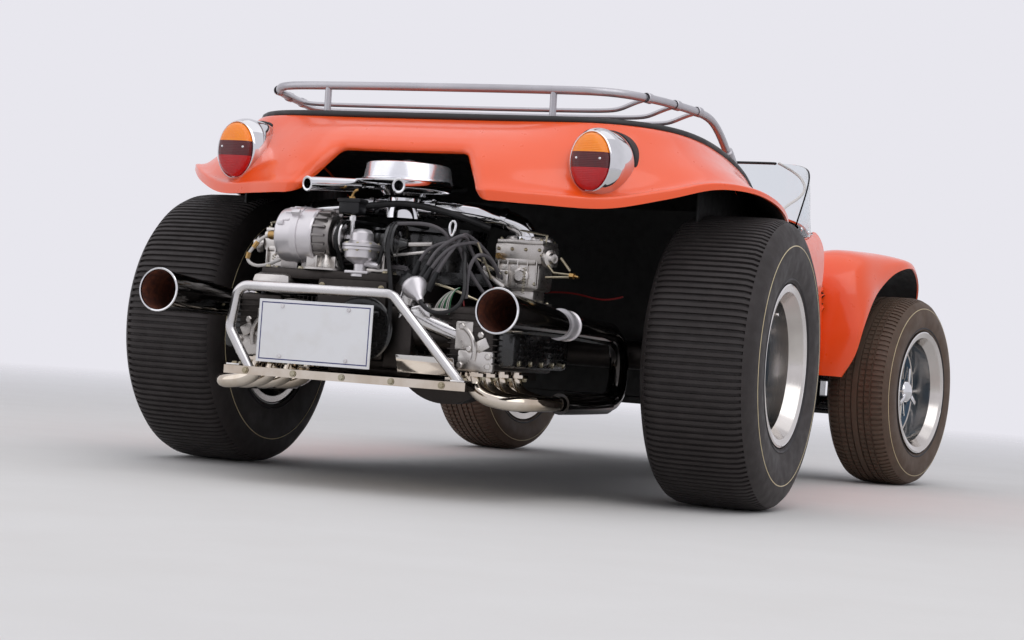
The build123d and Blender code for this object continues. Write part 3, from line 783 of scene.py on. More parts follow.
def open_the_bay(skin, roll=38):
    """Cut the opening over the engine into the rear skin and roll its edge inwards."""
    mesh = bmesh.new()
    mesh.from_mesh(skin.data)
    for (x, z), (nx, nz), near in bay_cuts():
        parts = set()
        for face in mesh.faces:
            c = face.calc_center_median() * MM
            if abs(c.x) > BAY_SIDE or c.y < BAY_FRONT:
                continue
            if near is None or math.hypot(c.x - near[0], c.z - near[1]) < 62:
                parts.update((face, *face.edges, *face.verts))
        bmesh.ops.bisect_plane(mesh, geom=list(parts), dist=0.0003, plane_co=(x / MM, 0, z / MM), plane_no=(nx, 0, nz))
    gone = []
    for face in mesh.faces:
        c = face.calc_center_median() * MM
        if abs(c.x) < 300 and c.y > BAY_FRONT and c.z < 860 and bay_distance(c.x, c.z)[0] < 0:
            gone.append(face)
    bmesh.ops.delete(mesh, geom=gone, context="FACES")
    for vertex in mesh.verts:
        x, y, z = vertex.co * MM
        if abs(x) > BAY_SIDE or y < BAY_FRONT:
            continue
        off, share = bay_distance(x, z)
        if off < roll:
            vertex.co.y -= share * 0.9 * (roll - math.sqrt(roll ** 2 - (roll - max(off, 0.0)) ** 2)) / MM
    mesh.to_mesh(skin.data)
    mesh.free()


def two_sided(mesh):
    """Orange outside, black inside."""
    mesh.materials.clear()
    for key in ("gelcoat", "underside"):
        mesh.materials.append(MATERIALS[key])


def walled(sheet, inside, thick=6):
    """Turn a sheet's faces away from a point inside and give it a wall; its inner side takes the dark finish."""
    mesh = sheet.data
    away = sum(face.normal.dot(face.center - Vector(inside) / MM) * face.area for face in mesh.polygons)
    if away < 0:
        mesh.flip_normals()
    two_sided(mesh)
    activate(sheet)
    wall = sheet.modifiers.new("wall", "SOLIDIFY")
    wall.thickness = thick / MM
    wall.offset = -1.0
    wall.use_even_offset = True
    wall.material_offset = 1
    bpy.ops.object.modifier_apply(modifier=wall.name)
    return sheet


def cowl_width(y):
    for (ya, wa), (yb, wb) in zip(COWL_WIDTH, COWL_WIDTH[1:]):
        if y <= yb:
            return wa + (wb - wa) * (y - ya) / (yb - ya)
    return 670


def is_inner(c, n):
    """True for a face of the front body that looks into a wheel arch or the cockpit."""
    if abs(c.x) > 420 and c.y < -720 and math.hypot(c.y - FRONT_Y, c.z - FRONT_R) < 400:
        return True
    if c.y < -460:
        return n.dot(c - Vector((0, max(c.y, -1300), 450))) < 0
    return n.x * (1 if c.x > 0 else -1) < -0.05


def front_body():
    """The node's own front half, without its fenders."""
    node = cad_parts["body_shell"]
    front = node.copy()
    front.data = node.data.copy()
    front.parent = None
    bpy.context.scene.collection.objects.link(front)
    mesh = bmesh.new()
    mesh.from_mesh(front.data)
    bmesh.ops.remove_doubles(mesh, verts=mesh.verts, dist=0.00002)
    gone = []
    for face in mesh.faces:
        c, n = face.calc_center_median() * MM, face.normal
        behind = c.y > 375 or (c.y > 240 and abs(n.y) > 0.6 and abs(c.x) < 620)
        fender = -1750 < c.y < -760 and abs(c.x) > cowl_width(c.y) + 14
        if behind or fender:
            gone.append(face)
    bmesh.ops.delete(mesh, geom=gone, context="FACES")
    mesh.to_mesh(front.data)
    mesh.free()
    two_sided(front.data)
    for face in front.data.polygons:
        face.material_index = int(is_inner(face.center * MM, face.normal))
    return front


class BUGGY_OT_body(bpy.types.Operator):
    """Skin of the body: orange gel-coat outside, black underneath, the opening's edge rolled in"""

    bl_idname = "buggy.body"
    bl_label = "Body skin"

    def execute(self, context):
        rows = [skin_row(row) for row in REAR_SKIN]
        skin = lofted(rows[::-1] + [mirrored(-1, row) for row in rows[1:]], 4, 8)
        open_the_bay(skin)
        pieces = [front_body(), walled(skin, (0, 700, 500))]
        deck_rows = [[(w * s, y, z) for s in (-1, -0.96, -0.66, -0.33, 0, 0.33, 0.66, 0.96, 1)] for y, z, w in DECK]
        pieces.append(walled(lofted(deck_rows, 2, 3), (0, 700, -2000)))
        for side, _ in SIDES:
            arch = []
            for angle, points in FENDER:
                a = math.radians(angle)
                arch.append([(side * x, FRONT_Y + r * math.cos(a), FRONT_R + r * math.sin(a)) for x, r in points])
            pieces.append(walled(lofted(arch, 5, 5), (side * 550, FRONT_Y, 100)))
        wall_rows = [[(w * s, y, z) for s in (-1, -0.5, 0, 0.5, 1)]
                     for y, z, w in ((342, 798, 634), (297, 600, 644), (267, 262, 585))]
        back = walled(lofted(wall_rows, 1, 3), (0, 5000, 600))
        for face in back.data.polygons:
            face.material_index = 1
        joined(pieces + [back], "body_skin", angle=32.0, instead_of="body_shell")
        return {"FINISHED"}


# ---------------------------------------------------------------- tyres and wheels

REAR_TREAD = [(-122, 192.5), (-126, 211), (-138, 214), (-146, 250), (-149, 290), (-145, 328),
              (-136, 352), (-124, 365.5), (-108, 373), (-85, 375.8), (-45, 377), (0, 377),
              (45, 377), (85, 375.8), (108, 373), (124, 365.5), (137, 352), (147, 328),
              (152, 290), (148, 250), (138, 214), (126, 211), (122, 192.5)]

FRONT_WALL = [(60, 325.5), (78, 321.5), (94, 313.5), (106, 298), (113.5, 280), (116.5, 262),
              (115, 238), (109, 216), (98, 211), (94, 192.5)]


def front_tread():
    """Profile of the front tyre with four round grooves in the tread."""
    half = [(0, 326)]
    for middle in (11.5, 34):
        half += [(middle - 2.6, 326), (middle - 1.8, 319.8), (middle + 1.8, 319.8), (middle + 2.6, 325.9)]
    half += [(53.5, 325.7), (54.5, 320.5), (57.8, 320.5)] + FRONT_WALL
    return [(-a, r) for a, r in half[:0:-1]] + half


def ribbed(tyre, centre, axle, count, depth, radii, wide, narrow=0, inset=1.2):
    """Sink every other face of the band between two radii and two distances from the middle."""
    activate(tyre)
    bpy.ops.object.mode_set(mode="EDIT")
    bpy.ops.mesh.select_all(action="DESELECT")
    mesh = bmesh.from_edit_mesh(tyre.data)
    level = axle.cross(UP).normalized()
    for face in mesh.faces:
        away = face.calc_center_median() * MM - centre
        along = away.dot(axle)
        away -= axle * along
        if radii[0] < away.length < radii[1] and narrow < abs(along) < wide:
            turn = math.atan2(away.z, away.dot(level)) / math.tau % 1.0
            face.select = int(turn * count * 2 + 0.0001) % 2 == 0
    bmesh.update_edit_mesh(tyre.data)
    bpy.ops.mesh.inset(thickness=inset / MM, depth=-depth / MM, use_boundary=True)
    bpy.ops.object.mode_set(mode="OBJECT")


def wall_rings(key, name, centre, axle, steps, *bands):
    """Raised rings on both side walls: finish, distances from the middle, radius, half width and height of each."""
    rings = []
    for finish, places, radius, width, height in bands:
        for along in places:
            h = math.copysign(height, along)
            profile = [(along - h, radius - width), (along + h * 0.4, radius - width * 0.6), (along + h, radius),
                       (along + h * 0.4, radius + width * 0.6), (along - h, radius + width)]
            rings += coat(finish, turned(profile, centre, axle, steps))
    joined(rings, f"{key}_tyre_rings_{name}", f"wheel_{key}_{name}")


class BUGGY_OT_rear_tyres(bpy.types.Operator):
    """Rear tyres with straight cross ribs and a thin ring on each smooth wall"""

    bl_idname = "buggy.rear_tyres"
    bl_label = "Rear tyres"

    def execute(self, context):
        settings = context.scene.buggy_finish
        for side, name in SIDES:
            centre, axle = wheel_place("rear", side)
            tyre = turned(REAR_TREAD, centre, axle, settings.rib_count * 2)
            ribbed(tyre, centre, axle, settings.rib_count, settings.rib_depth * MM, (360, 378), 130)
            joined(coat("tyre_rubber", tyre), f"rear_tyre_ribbed_{name}", "wheel_rear_" + name, 40.0,
                   f"rear_tyre_{name}")
            wall_rings("rear", name, centre, axle, 120, ("wall_line", (149.9, -147.3), 308, 1.6, 0.6),
                       ("sidewall_rubber", (141.2, -140.5), 222.5, 4, 2.2))
        return {"FINISHED"}


class BUGGY_OT_front_tyres(bpy.types.Operator):
    """Front tyres with round grooves, siped shoulders and a thin ring on each wall"""

    bl_idname = "buggy.front_tyres"
    bl_label = "Front tyres"

    def execute(self, context):
        count = context.scene.buggy_finish.sipe_count
        for side, name in SIDES:
            centre, axle = wheel_place("front", side)
            tyre = turned(front_tread(), centre, axle, count * 2)
            ribbed(tyre, centre, axle, count, 4, (310, 326.2), 92, 57.5, 1)
            for wide, narrow in ((53.5, 36.1), (31.5, 13.9)):
                ribbed(tyre, centre, axle, count, 3, (325.2, 326.2), wide, narrow, 1.5)
            joined(coat("front_rubber", tyre), f"front_tyre_treaded_{name}", "wheel_front_" + name, 40.0,
                   f"front_tyre_{name}")
            wall_rings("front", name, centre, axle, 96, ("wall_line", (109.6, -109.6), 290, 1.3, 0.6),
                       ("sidewall_rubber", (111.2, -111.2), 223, 3.5, 2))
        return {"FINISHED"}


class BUGGY_OT_wheel_fittings(bpy.types.Operator):
    """Spinners and spokes of the front wheels, hub caps and nuts of the rear wheels, valves"""

    bl_idname = "buggy.wheel_fittings"
    bl_label = "Wheel fittings"

    def execute(self, context):
        for side, name in SIDES:
            centre, axle = wheel_place("front", side)
            level = axle.cross(UP).normalized()
            spinner = [turned([(50, 0), (50, 36), (58, 38), (66, 33), (74, 20), (78, 0)], centre, axle, 40)]
            for out in spread(3, level, UP, 90):
                turn = Matrix((out, axle.cross(out), axle)).transposed()
                spinner.append(brick(centre + axle * 64 + out * 50, (62, 16, 9), 3, turn))
            spokes = [rod(centre + axle * 30 + out * 48, centre + axle * 8.5 + out * 146, 2.6, 6)
                      for out in spread(20, level, UP)]
            valve = centre + axle * 88 + level * 178
            lip = turned([(108.5, 208.5), (112.5, 210.5), (114.5, 207), (111.5, 204.5)], centre, axle, 96)
            joined(coat("chrome", *spinner) +
                   coat("polished_aluminium", *spokes, lip, rod(valve, valve + axle * 30, 4)),
                   f"front_wheel_fittings_{name}", "wheel_front_" + name)

            centre, axle = wheel_place("rear", side)
            cap = turned([(33, 0), (33, 34), (44, 33), (52, 26), (56, 0)], centre, axle, 40)
            spots = [(centre + axle * 12.5 + out * 92, axle) for out in spread(5, TO_REAR, UP, 12)]
            nuts = copies(bolt(10.5, 18), spots)
            valve = centre + axle * 112 + Vector((0, 126, 126))
            lips = [turned(profile, centre, axle, 120) for profile in (
                [(134.5, 208.5), (138.5, 210.5), (140.5, 207), (137.5, 204.5)],
                [(-134.5, 208.5), (-136.5, 210.5), (-138, 207), (-136, 204.5)])]
            joined(coat("chrome", cap, *nuts) + coat("polished_aluminium", *lips, rod(valve, valve + axle * 30, 4)),
                   f"rear_wheel_fittings_{name}", "wheel_rear_" + name)
        return {"FINISHED"}


# ---------------------------------------------------------------- lamps

class BUGGY_OT_lamps(bpy.types.Operator):
    """Rear lamps with banded lenses in deep bright housings, headlamps with fluted glasses"""

    bl_idname = "buggy.lamps"
    bl_label = "Lamps"

    def execute(self, context):
        for side, name in SIDES:
            x, y, z = place = mirrored(side, [TAIL_LAMP])[0]
            lens = egg([(50, 48.5, 70.5), (66, 48.5, 70.5), (75, 46.8, 68.5), (81, 42, 62), (85, 33, 49), (87, 18, 27),
                        (87.3, 3, 4)], place)
            joined(coat(f"lens_{name}", lens), f"tail_lens_{name}", angle=50.0)
            body = egg([(-110, 73.5, 87.5), (20, 73.5, 87.5), (30, 72.2, 86.2), (44, 68, 82.8), (55, 61, 78.5),
                        (62, 56.2, 76.2), (66.5, 53.5, 74.8), (67.5, 51.5, 73.2), (66.5, 49.8, 71.8),
                        (60, 49, 71)], place)
            seal = egg([(-110, 77.5, 91.5), (-58, 77.5, 91.5), (-52, 75.5, 89.5), (-52, 70, 84)], place)
            heads = copies(screw(4.2, 3.4), [((x + dx, y + 82.8, z + 6), (dx * 0.004, 1, 0)) for dx in (-30, 30)])
            joined(coat("chrome", body) + coat("hose_rubber", seal) + coat("chrome", *heads),
                   f"tail_housing_{name}", angle=50.0, instead_of=f"tail_lamp_{name}")
            axis, place = (0, -0.989, 0.148), mirrored(side, [HEADLAMP])[0]
            bowl = turned([(-45, 0), (-45, 58), (-20, 76), (16, 80), (19, 83.5), (26, 81.5), (33, 71.5), (31, 65.5),
                           (24, 67.5), (20, 0)], place, axis, 64)
            glass = turned([(22, 0), (22, 60), (30, 66.5), (37.5, 50), (42.5, 25), (44, 0)], place, axis, 56)
            joined(coat("chrome", bowl) + coat("lamp_glass", glass), f"headlamp_{name}", angle=50.0)
        return {"FINISHED"}


# ---------------------------------------------------------------- windscreen trim

# Outline of the screen at its base and top in x and y, and its free side edge in y and z.
SCREEN_BASE = [(650, 90), (651, -100), (652, -300), (628, -430), (540, -560), (400, -620),
               (200, -645), (0, -650)]
SCREEN_TOP = [(648, 90), (646, -80), (625, -270), (580, -430), (500, -522), (380, -568),
              (200, -586), (0, -590)]
SCREEN_EDGE = [(96, 776), (70, 820), (0, 852), (-120, 878), (-291, 922), (-392, 961),
               (-472, 1000), (-535, 1034)]
SCREEN_FOOT, SCREEN_RISE = 720, 344


def on_screen(y, z):
    """How far out the screen stands at a given y and z."""
    share = (z - SCREEN_FOOT) / SCREEN_RISE
    line = [[low * (1 - share) + high * share for low, high in zip(b, t)] for b, t in zip(SCREEN_BASE, SCREEN_TOP)]
    for (xa, ya), (xb, yb) in zip(line, line[1:]):
        if yb <= y <= ya:
            return xa + (xb - xa) * (ya - y) / (ya - yb)
    return line[0][0] if y > line[0][1] else line[-1][0]


class BUGGY_OT_screen_trim(bpy.types.Operator):
    """Edge trim of the windscreen, black along the top and pale down the sides, with its screws"""

    bl_idname = "buggy.screen_trim"
    bl_label = "Windscreen trim"

    def execute(self, context):
        screen = surface_of("windscreen")
        side_line = [(on_screen(y, z) - 2.5, y, z) for y, z in SCREEN_EDGE]
        top_line = [(x * 0.9835, y * 0.998, 1060.5) for x, y in SCREEN_TOP[4:]]
        pale = [hose(mirrored(side, side_line), 4.2) for side, _ in SIDES]
        snapped = []
        for point in mirrored(-1, side_line[-1:] + top_line) + top_line[-2::-1] + side_line[-1:]:
            found = screen.find_nearest(Vector(point) / MM)[0] * MM
            snapped.append((found.x, found.y + 2, max(found.z, 1030)))
        joined(coat("pale_trim", *pale) + coat("black_plastic", hose(snapped, 4.5)), "screen_edging")
        seeks = [((side * 700, y, 800), TO_LEFT * side) for side, _ in SIDES for y in (30, -80, -190, -300, -410)]
        seeks += [((x, -750, 875), -TO_REAR) for x in (-420, -250, -80, 80, 250, 420)]
        spots = []
        for place, way in seeks:
            found, normal, _, _ = screen.find_nearest(Vector(place) / MM)
            out = normal if normal.dot(way) > 0 else -normal
            spots.append((found * MM + out * 0.2, out))
        joined(coat("chrome", *copies(screw(6.5, 4), spots)), "screen_screws")
        return {"FINISHED"}


# ---------------------------------------------------------------- deck, rack and rear hoop

# Half of the rack's rail, from its right-hand end to the middle; y and half length of the slats; x of the posts.
RACK_RAIL = [(612, 490, 925), (606, 550, 972), (600, 600, 1004), (596, 655, 1022), (590, 720, 1027), (576, 800, 1028),
             (553, 920, 1028), (522, 1000, 1028), (480, 1068, 1028), (425, 1096, 1028), (350, 1102, 1028),
             (200, 1103, 1029), (0, 1103, 1029)]
RACK_SLATS = ((985, 529), (860, 565), (740, 587))
RACK_FOOT = 318


class BUGGY_OT_deck(bpy.types.Operator):
    """Quilted cover on the deck and the bolts of the rack's feet"""

    bl_idname = "buggy.deck"
    bl_label = "Deck cover and rack bolts"

    def execute(self, context):
        deck = surface_of("body_shell")
        wide, long = 1.08, 0.56
        deselect()
        bpy.ops.mesh.primitive_grid_add(x_subdivisions=88, y_subdivisions=48, size=1.0, location=(0, 0, 0))
        pad = context.object
        edit(pad)
        bpy.ops.transform.resize(value=(wide, long, 1.0), center_override=(0, 0, 0))
        bpy.ops.object.mode_set(mode="OBJECT")
        for vertex in pad.data.vertices:
            border = min(1.0, (0.5 - abs(vertex.co.x / wide)) * 16, (0.5 - abs(vertex.co.y / long)) * 9)
            y = vertex.co.y * MM + 785
            x = vertex.co.x * MM * (1.0 - 0.10 * max(0.0, (y - 800) / 280) ** 2)
            hit = deck.ray_cast(Vector((x, y, 1000)) / MM, -UP, 0.3)[0]
            across = abs(math.sin(x * math.pi / 270)) ** 0.5
            along = abs(math.sin((y - 505) * math.pi / 140)) ** 0.5
            puff = 24 * max(0.0, border) ** 0.5 * (0.45 + 0.55 * across * along)
            vertex.co = Vector((x, y, (hit.z * MM if hit else 920) + 3 + puff)) / MM
        activate(pad)
        shell = pad.modifiers.new("thickness", "SOLIDIFY")
        shell.thickness = 0.003
        bpy.ops.object.modifier_apply(modifier=shell.name)
        joined(coat("black_vinyl", pad), "deck_quilt", angle=60.0)

        spots = [((side * RACK_FOOT + 20 * math.cos(a), 1100 + 20 * math.sin(a), 944.5), UP)
                 for side, _ in SIDES for a in map(math.radians, (40, 140, 220, 320))]
        joined(coat("zinc", *copies(bolt(3.5, 3), spots)), "rack_foot_bolts")
        return {"FINISHED"}


class BUGGY_OT_edge(bpy.types.Operator):
    """Black roll on the edge of the deck and dark panels of painted shade beside the engine bay"""

    bl_idname = "buggy.edge"
    bl_label = "Deck edge"

    def execute(self, context):
        line = [(x, y - 4, z + 8) for x, y, z, *_ in REAR_SKIN[1:]]
        roll = hose(mirrored(-1, line[::-1]) + line, 10, 14, detail=4)
        joined(coat("black_vinyl", roll), "deck_roll", angle=50.0)
        for side, name in SIDES:
            # Painted shade: a thin dark wall under each side of the deck that stands in for shadow there.
            panel = brick((side * 655, 645, 735), (8, 520, 190), 3)
            joined(coat("underside", panel), f"painted_shade_panel_{name}", angle=40.0)
        return {"FINISHED"}


class BUGGY_OT_rack(bpy.types.Operator):
    """Luggage rack: one bent rail with posts, dropped slats and clamps"""

    bl_idname = "buggy.rack"
    bl_label = "Luggage rack"

    def execute(self, context):
        pieces = [hose(RACK_RAIL + mirrored(-1, RACK_RAIL[-2::-1]), 11, 16, detail=5)]
        for y, x in RACK_SLATS:
            end = [(x, y, 1026), (x - 30, y, 1020), (x - 70, y, 996), (x - 120, y, 992)]
            pieces.append(hose(mirrored(-1, end) + [(0, y, 992)] + end[::-1], 6, 12, detail=5))
        for side, _ in SIDES:
            x = side * RACK_FOOT
            pieces += [rod((x, 1100, 940), (x, 1102, 1027), 9, 16),
                       turned([(0, 0), (0, 24), (3, 24), (7, 17), (18, 12.5), (18, 0)], (x, 1098, 938), UP, 24),
                       turned([(-20, 0), (-20, 17), (28, 17), (32, 13), (32, 0)], (side * 611, 500, 932),
                              (side * -0.09, 0.80, 0.64), 24)]
            pieces += [turned([(-12, 11.8), (-10, 13.6), (10, 13.6), (12, 11.8)], (side * x, y, 1028),
                              (side * 0.17, -1, 0), 20) for y, x in RACK_SLATS]
        joined(coat("silver_paint", *pieces), "rack_rails", instead_of="luggage_rack")
        return {"FINISHED"}


class BUGGY_OT_hoop(bpy.types.Operator):
    """Screws of the plate, brackets of the hoop and bolts of the tray under the engine"""

    bl_idname = "buggy.hoop"
    bl_label = "Hoop and plate fittings"

    def execute(self, context):
        x, y, z = PLATE
        spots = [((x + dx, y + 1.4, z + dz), TO_REAR) for dx in (-89, 89) for dz in (-60.5, 60.5)]
        joined(coat("satin_aluminium", *copies(bolt(4.2, 3.2), spots)), "plate_screws")
        pieces = [brick((x, 1529.5, z), (42, 4, 22)) for x in (-8, 172) for z in (311.5, 432.5)]
        pieces.append(brick((-190, 1482, 316), (150, 3, 46), 1, turn_about("X", math.radians(-24))))
        pieces += [brick((x, 1510, 284.5), (36, 52, 5), 1.5) for x in (-298, 298)]
        joined(coat("polished_aluminium", *pieces), "hoop_brackets")
        spots = [((x, y, 287), UP) for x in (-298, 298) for y in (1494, 1526)]
        spots += [((x, 1539, 272), TO_REAR) for x in (-260, -130, 0, 130, 260)]
        joined(coat("zinc", *copies(bolt(6.2, 5), spots)), "tray_bolts")
        return {"FINISHED"}


# ---------------------------------------------------------------- engine

class BUGGY_OT_castings(bpy.types.Operator):
    """Engine case, barrels with fins, heads, rocker covers, cover on the left and tripod stand"""

    bl_idname = "buggy.castings"
    bl_label = "Engine castings"

    def execute(self, context):
        dark = [brick((0, 1200, 403), (260, 400, 226), 18), brick((35, 1420, 414), (190, 60, 196), 12),
                brick((-95, 1420, 376), (74, 50, 152), 8), brick((115, 1406, 516), (350, 74, 26), 6),
                brick((0, 1230, 296), (230, 330, 30), 10)]
        bright, black = [], []
        for side, _ in SIDES:
            dark += [disc(50, 118, (0, y, 398), (side, 0, 0), start=118) for y in (1090, 1240, 1390)]
            dark += [brick((side * (146 + 12 * step), 1215, 400), (3.2, 356, 128), 0.8) for step in range(8)]
            dark.append(brick((side * 286, 1240, 388), (116, 404, 150), 12))
            dark += [brick((side * 290, 1240, 330 + 14.5 * step), (128, 408, 3.5), 0.8) for step in range(9)]
            bright += [brick((side * 300, 1436, 334), (92, 18, 52), 6), brick((side * 268, 1438, 392), (46, 16, 70), 5),
                       brick((side * 316, 1440, 372), (34, 14, 28), 4, turn_about("Y", 0.5))]
            bright += [turned([(0, 0), (0, 8.5), (10, 8.5), (12, 6), (12, 0)], (side * x, 1438, z), TO_REAR, 6)
                       for x, z in ((262, 322), (334, 322), (334, 346), (262, 414), (284, 362), (312, 396))]
            bright.append(hose(mirrored(side, [(262, 1442, 412), (292, 1449, 402), (304, 1449, 370),
                                               (296, 1446, 336)]), 6.2, 12))
            black.append(brick((side * 366, 1240, 377), (50, 380, 108), 16))
            black += [brick((side * 390.5, 1240, z), (5, 300, 5)) for z in (352, 366, 380, 394)]
        stand = Vector((134, 1410, 529))
        bright += [brick((255, 1424, 492), (108, 70, 46), 18), brick((225, 1410, 400), (120, 50, 110), 14),
                   turned([(0, 0), (0, 52), (5, 52), (7, 34), (20, 22), (44, 10.5), (52, 10), (52, 0)], stand, UP, 32)]
        for a in (math.radians(25 + 65 * step) for step in range(5)):
            out = Vector((math.cos(a), math.sin(a), 0))
            bright.append(brick(stand + UP * 19 + out * 26, (36, 4, 30), 1, turn_about("Z", a)))
        crank = Vector((-10, 1438, 392))
        black.append(turned([(20, 0), (20, 70), (24, 78), (30, 70), (36, 78), (38, 70), (32, 50), (34, 24), (40, 0)],
                            crank, TO_REAR, 56))
        black += [brick(crank + TO_REAR * 34 + out * 52, (18, 4, 18), 4) for out in spread(4, TO_LEFT, UP, 45)]
        joined(coat("dark_casting", *dark) + coat("cast_aluminium", *bright) + coat("black_enamel", *black),
               "engine_castings", instead_of="engine_block")
        return {"FINISHED"}


class BUGGY_OT_headers(bpy.types.Operator):
    """Head pipes swept into a collector on each side"""

    bl_idname = "buggy.headers"
    bl_label = "Head pipes"

    def execute(self, context):
        for side, name in SIDES:
            pipes = [hose(mirrored(side, [
                (HEAD_PORT_X, y, 320), (HEAD_PORT_X, y, 288), (297, y, 264), (325, y, 247.5),
                (375, y - 6, 239.5), (415, y - 35, 240), (436, y - 100, 243), (442, y - 170, 244)]), 18.5, 20)
                    for y in HEAD_PORTS]
            tail = hose(mirrored(side, [(444, 1240, 244), (446, 1150, 244), (449, 1050, 244.5), (450, 925, 246)]),
                        26.5, 24)
            bend = hose(mirrored(side, [
                (450, 990, 245.5), (450, 920, 246), (451, 862, 256), (452, 838, 300), (452, 838, 372), (450, 868, 415),
                (446, 925, 426.5), (440, 1006, 427)]), 25.5, 24)
            joined(coat("warm_chrome", *pipes) + coat("black_chrome", tail, bend), f"head_pipes_{name}", angle=50.0,
                   instead_of=f"exhaust_{name}")
        return {"FINISHED"}


def horn_radius(along):
    """Outer radius of the megaphone at a distance from its start."""
    return 31 + 20 * max(0, along - 226) / 438


class BUGGY_OT_exhausts(bpy.types.Operator):
    """Bright lips, rusty bores and clamps of the megaphones, flanges of the head pipes"""

    bl_idname = "buggy.exhausts"
    bl_label = "Exhaust fittings"

    def execute(self, context):
        clamp, wide = 238, 30
        for side, name in SIDES:
            start = Vector(mirrored(side, [HORN_START])[0])
            lip = turned([(660.5, 48.5), (662.5, 52.2), (665.5, 53.2), (668, 51.8), (667.5, 48.8), (664, 47.8)], start,
                         HORN_LINE, 56)
            near, far = clamp - wide, clamp + wide
            low, high = horn_radius(near) + 0.6, horn_radius(far) + 0.6
            band = turned([(near, low - 2), (near, low + 6), (near + 5, low + 6.5), (near + 8, low + 2.5),
                           (far - 8, high + 2.5), (far - 5, high + 6), (far, high + 5), (far, high - 2)], start,
                          HORN_LINE, 48)
            out = Vector((side * -0.7, 0, 0.7)).normalized()
            head = copies(bolt(6, 11), [(start + HORN_LINE * clamp + out * (horn_radius(clamp) + 3), out)])
            joined(coat("chrome", lip) + coat("generator_silver", band) + coat("zinc", *head),
                   f"megaphone_fittings_{name}")
            bore = turned([(663, 48.2), (226, 28.2), (30, 28.2), (30, 0), (32, 0), (32, 27.6), (226, 27.6),
                           (662, 47.6)], start, HORN_LINE, 48)
            joined(coat("rusty_bore", bore), f"megaphone_bore_{name}", angle=50.0)
            flanges = [turned([(0, 19.5), (0, 34), (8, 34), (8, 19.5)], (side * HEAD_PORT_X, y, 297.5), UP, 28)
                       for y in HEAD_PORTS]
            spots = [((side * HEAD_PORT_X + dx, y, 297.5), -UP) for y in HEAD_PORTS for dx in (-27, 27)]
            joined(coat("warm_chrome", *flanges) + coat("zinc", *copies(bolt(6.5, 8), spots)),
                   f"head_pipe_flanges_{name}")
        return {"FINISHED"}


class BUGGY_OT_air(bpy.types.Operator):
    """Air cleaner with its two chrome pipes, and the chrome intake pipes to the carburettors"""

    bl_idname = "buggy.air"
    bl_label = "Air cleaner and intakes"

    def execute(self, context):
        lid = (0, 1247, 730.3)
        bright = [turned([(0, 0), (0, 60), (20, 75), (26, 148), (28, 151), (31, 151.5), (33, 148), (36, 122), (36, 0)],
                         lid, UP, 80)]
        drum = turned([(36, 0), (36, 115), (38, 116.5), (41, 115.5), (43, 112), (76, 106), (79.5, 104), (81.5, 99),
                       (81, 40), (84, 22), (90, 18), (94, 10), (95, 0)], lid, UP, 88)
        ends = []
        for start, end in (((85, 1358, 747), (145, 1508, 733)), ((-128, 1296, 752), (-101, 1512, 736))):
            way = Vector(end) - Vector(start)
            far = way.length
            bright.append(turned([(0, 12.5), (0, 16.5), (far - 4, 16.5), (far - 2, 18.5), (far, 18.5), (far + 1, 16.5),
                                  (far, 12.5), (far - 60, 12.5), (far - 61, 0), (far - 62, 0), (far - 63, 12.5)],
                                 start, way, 36))
            ends.append(disc(12.3, 2, start, way, 24, far - 58))
        bright.append(hose([(30, 1300, 745), (100, 1360, 742), (140, 1370, 748)], 4, 8))
        joined(coat("chrome", *bright) + coat("lid_chrome", drum) + coat("black_plastic", *ends), "air_cleaner_chrome",
               instead_of="air_cleaner")
        ducts = []
        for side, _ in SIDES:
            ducts.append(hose(mirrored(side, [
                (0, 1250, 704), (80, 1250, 704), (157, 1247, 699), (240, 1236, 692), (292, 1226, 680),
                (314, 1216, 664), (316, 1213, 645), (316, 1213, 622)]), 24.5, 24))
            for ring in (((85, 1250, 703.5), (1, 0, -0.03)), ((262, 1232, 688.5), (1, -0.2, -0.2)),
                         ((316, 1213, 640), (0, 0, 1))):
                ducts.append(turned([(-7, 24.6), (-6, 27.2), (6, 27.2), (7, 24.6)], *mirrored(side, ring), 32))
        ducts.append(turned([(0, 0), (0, 50), (50, 50), (56, 0)], (0, 1247, 675), UP, 40))
        joined(coat("chrome", *ducts), "intake_pipes")
        return {"FINISHED"}


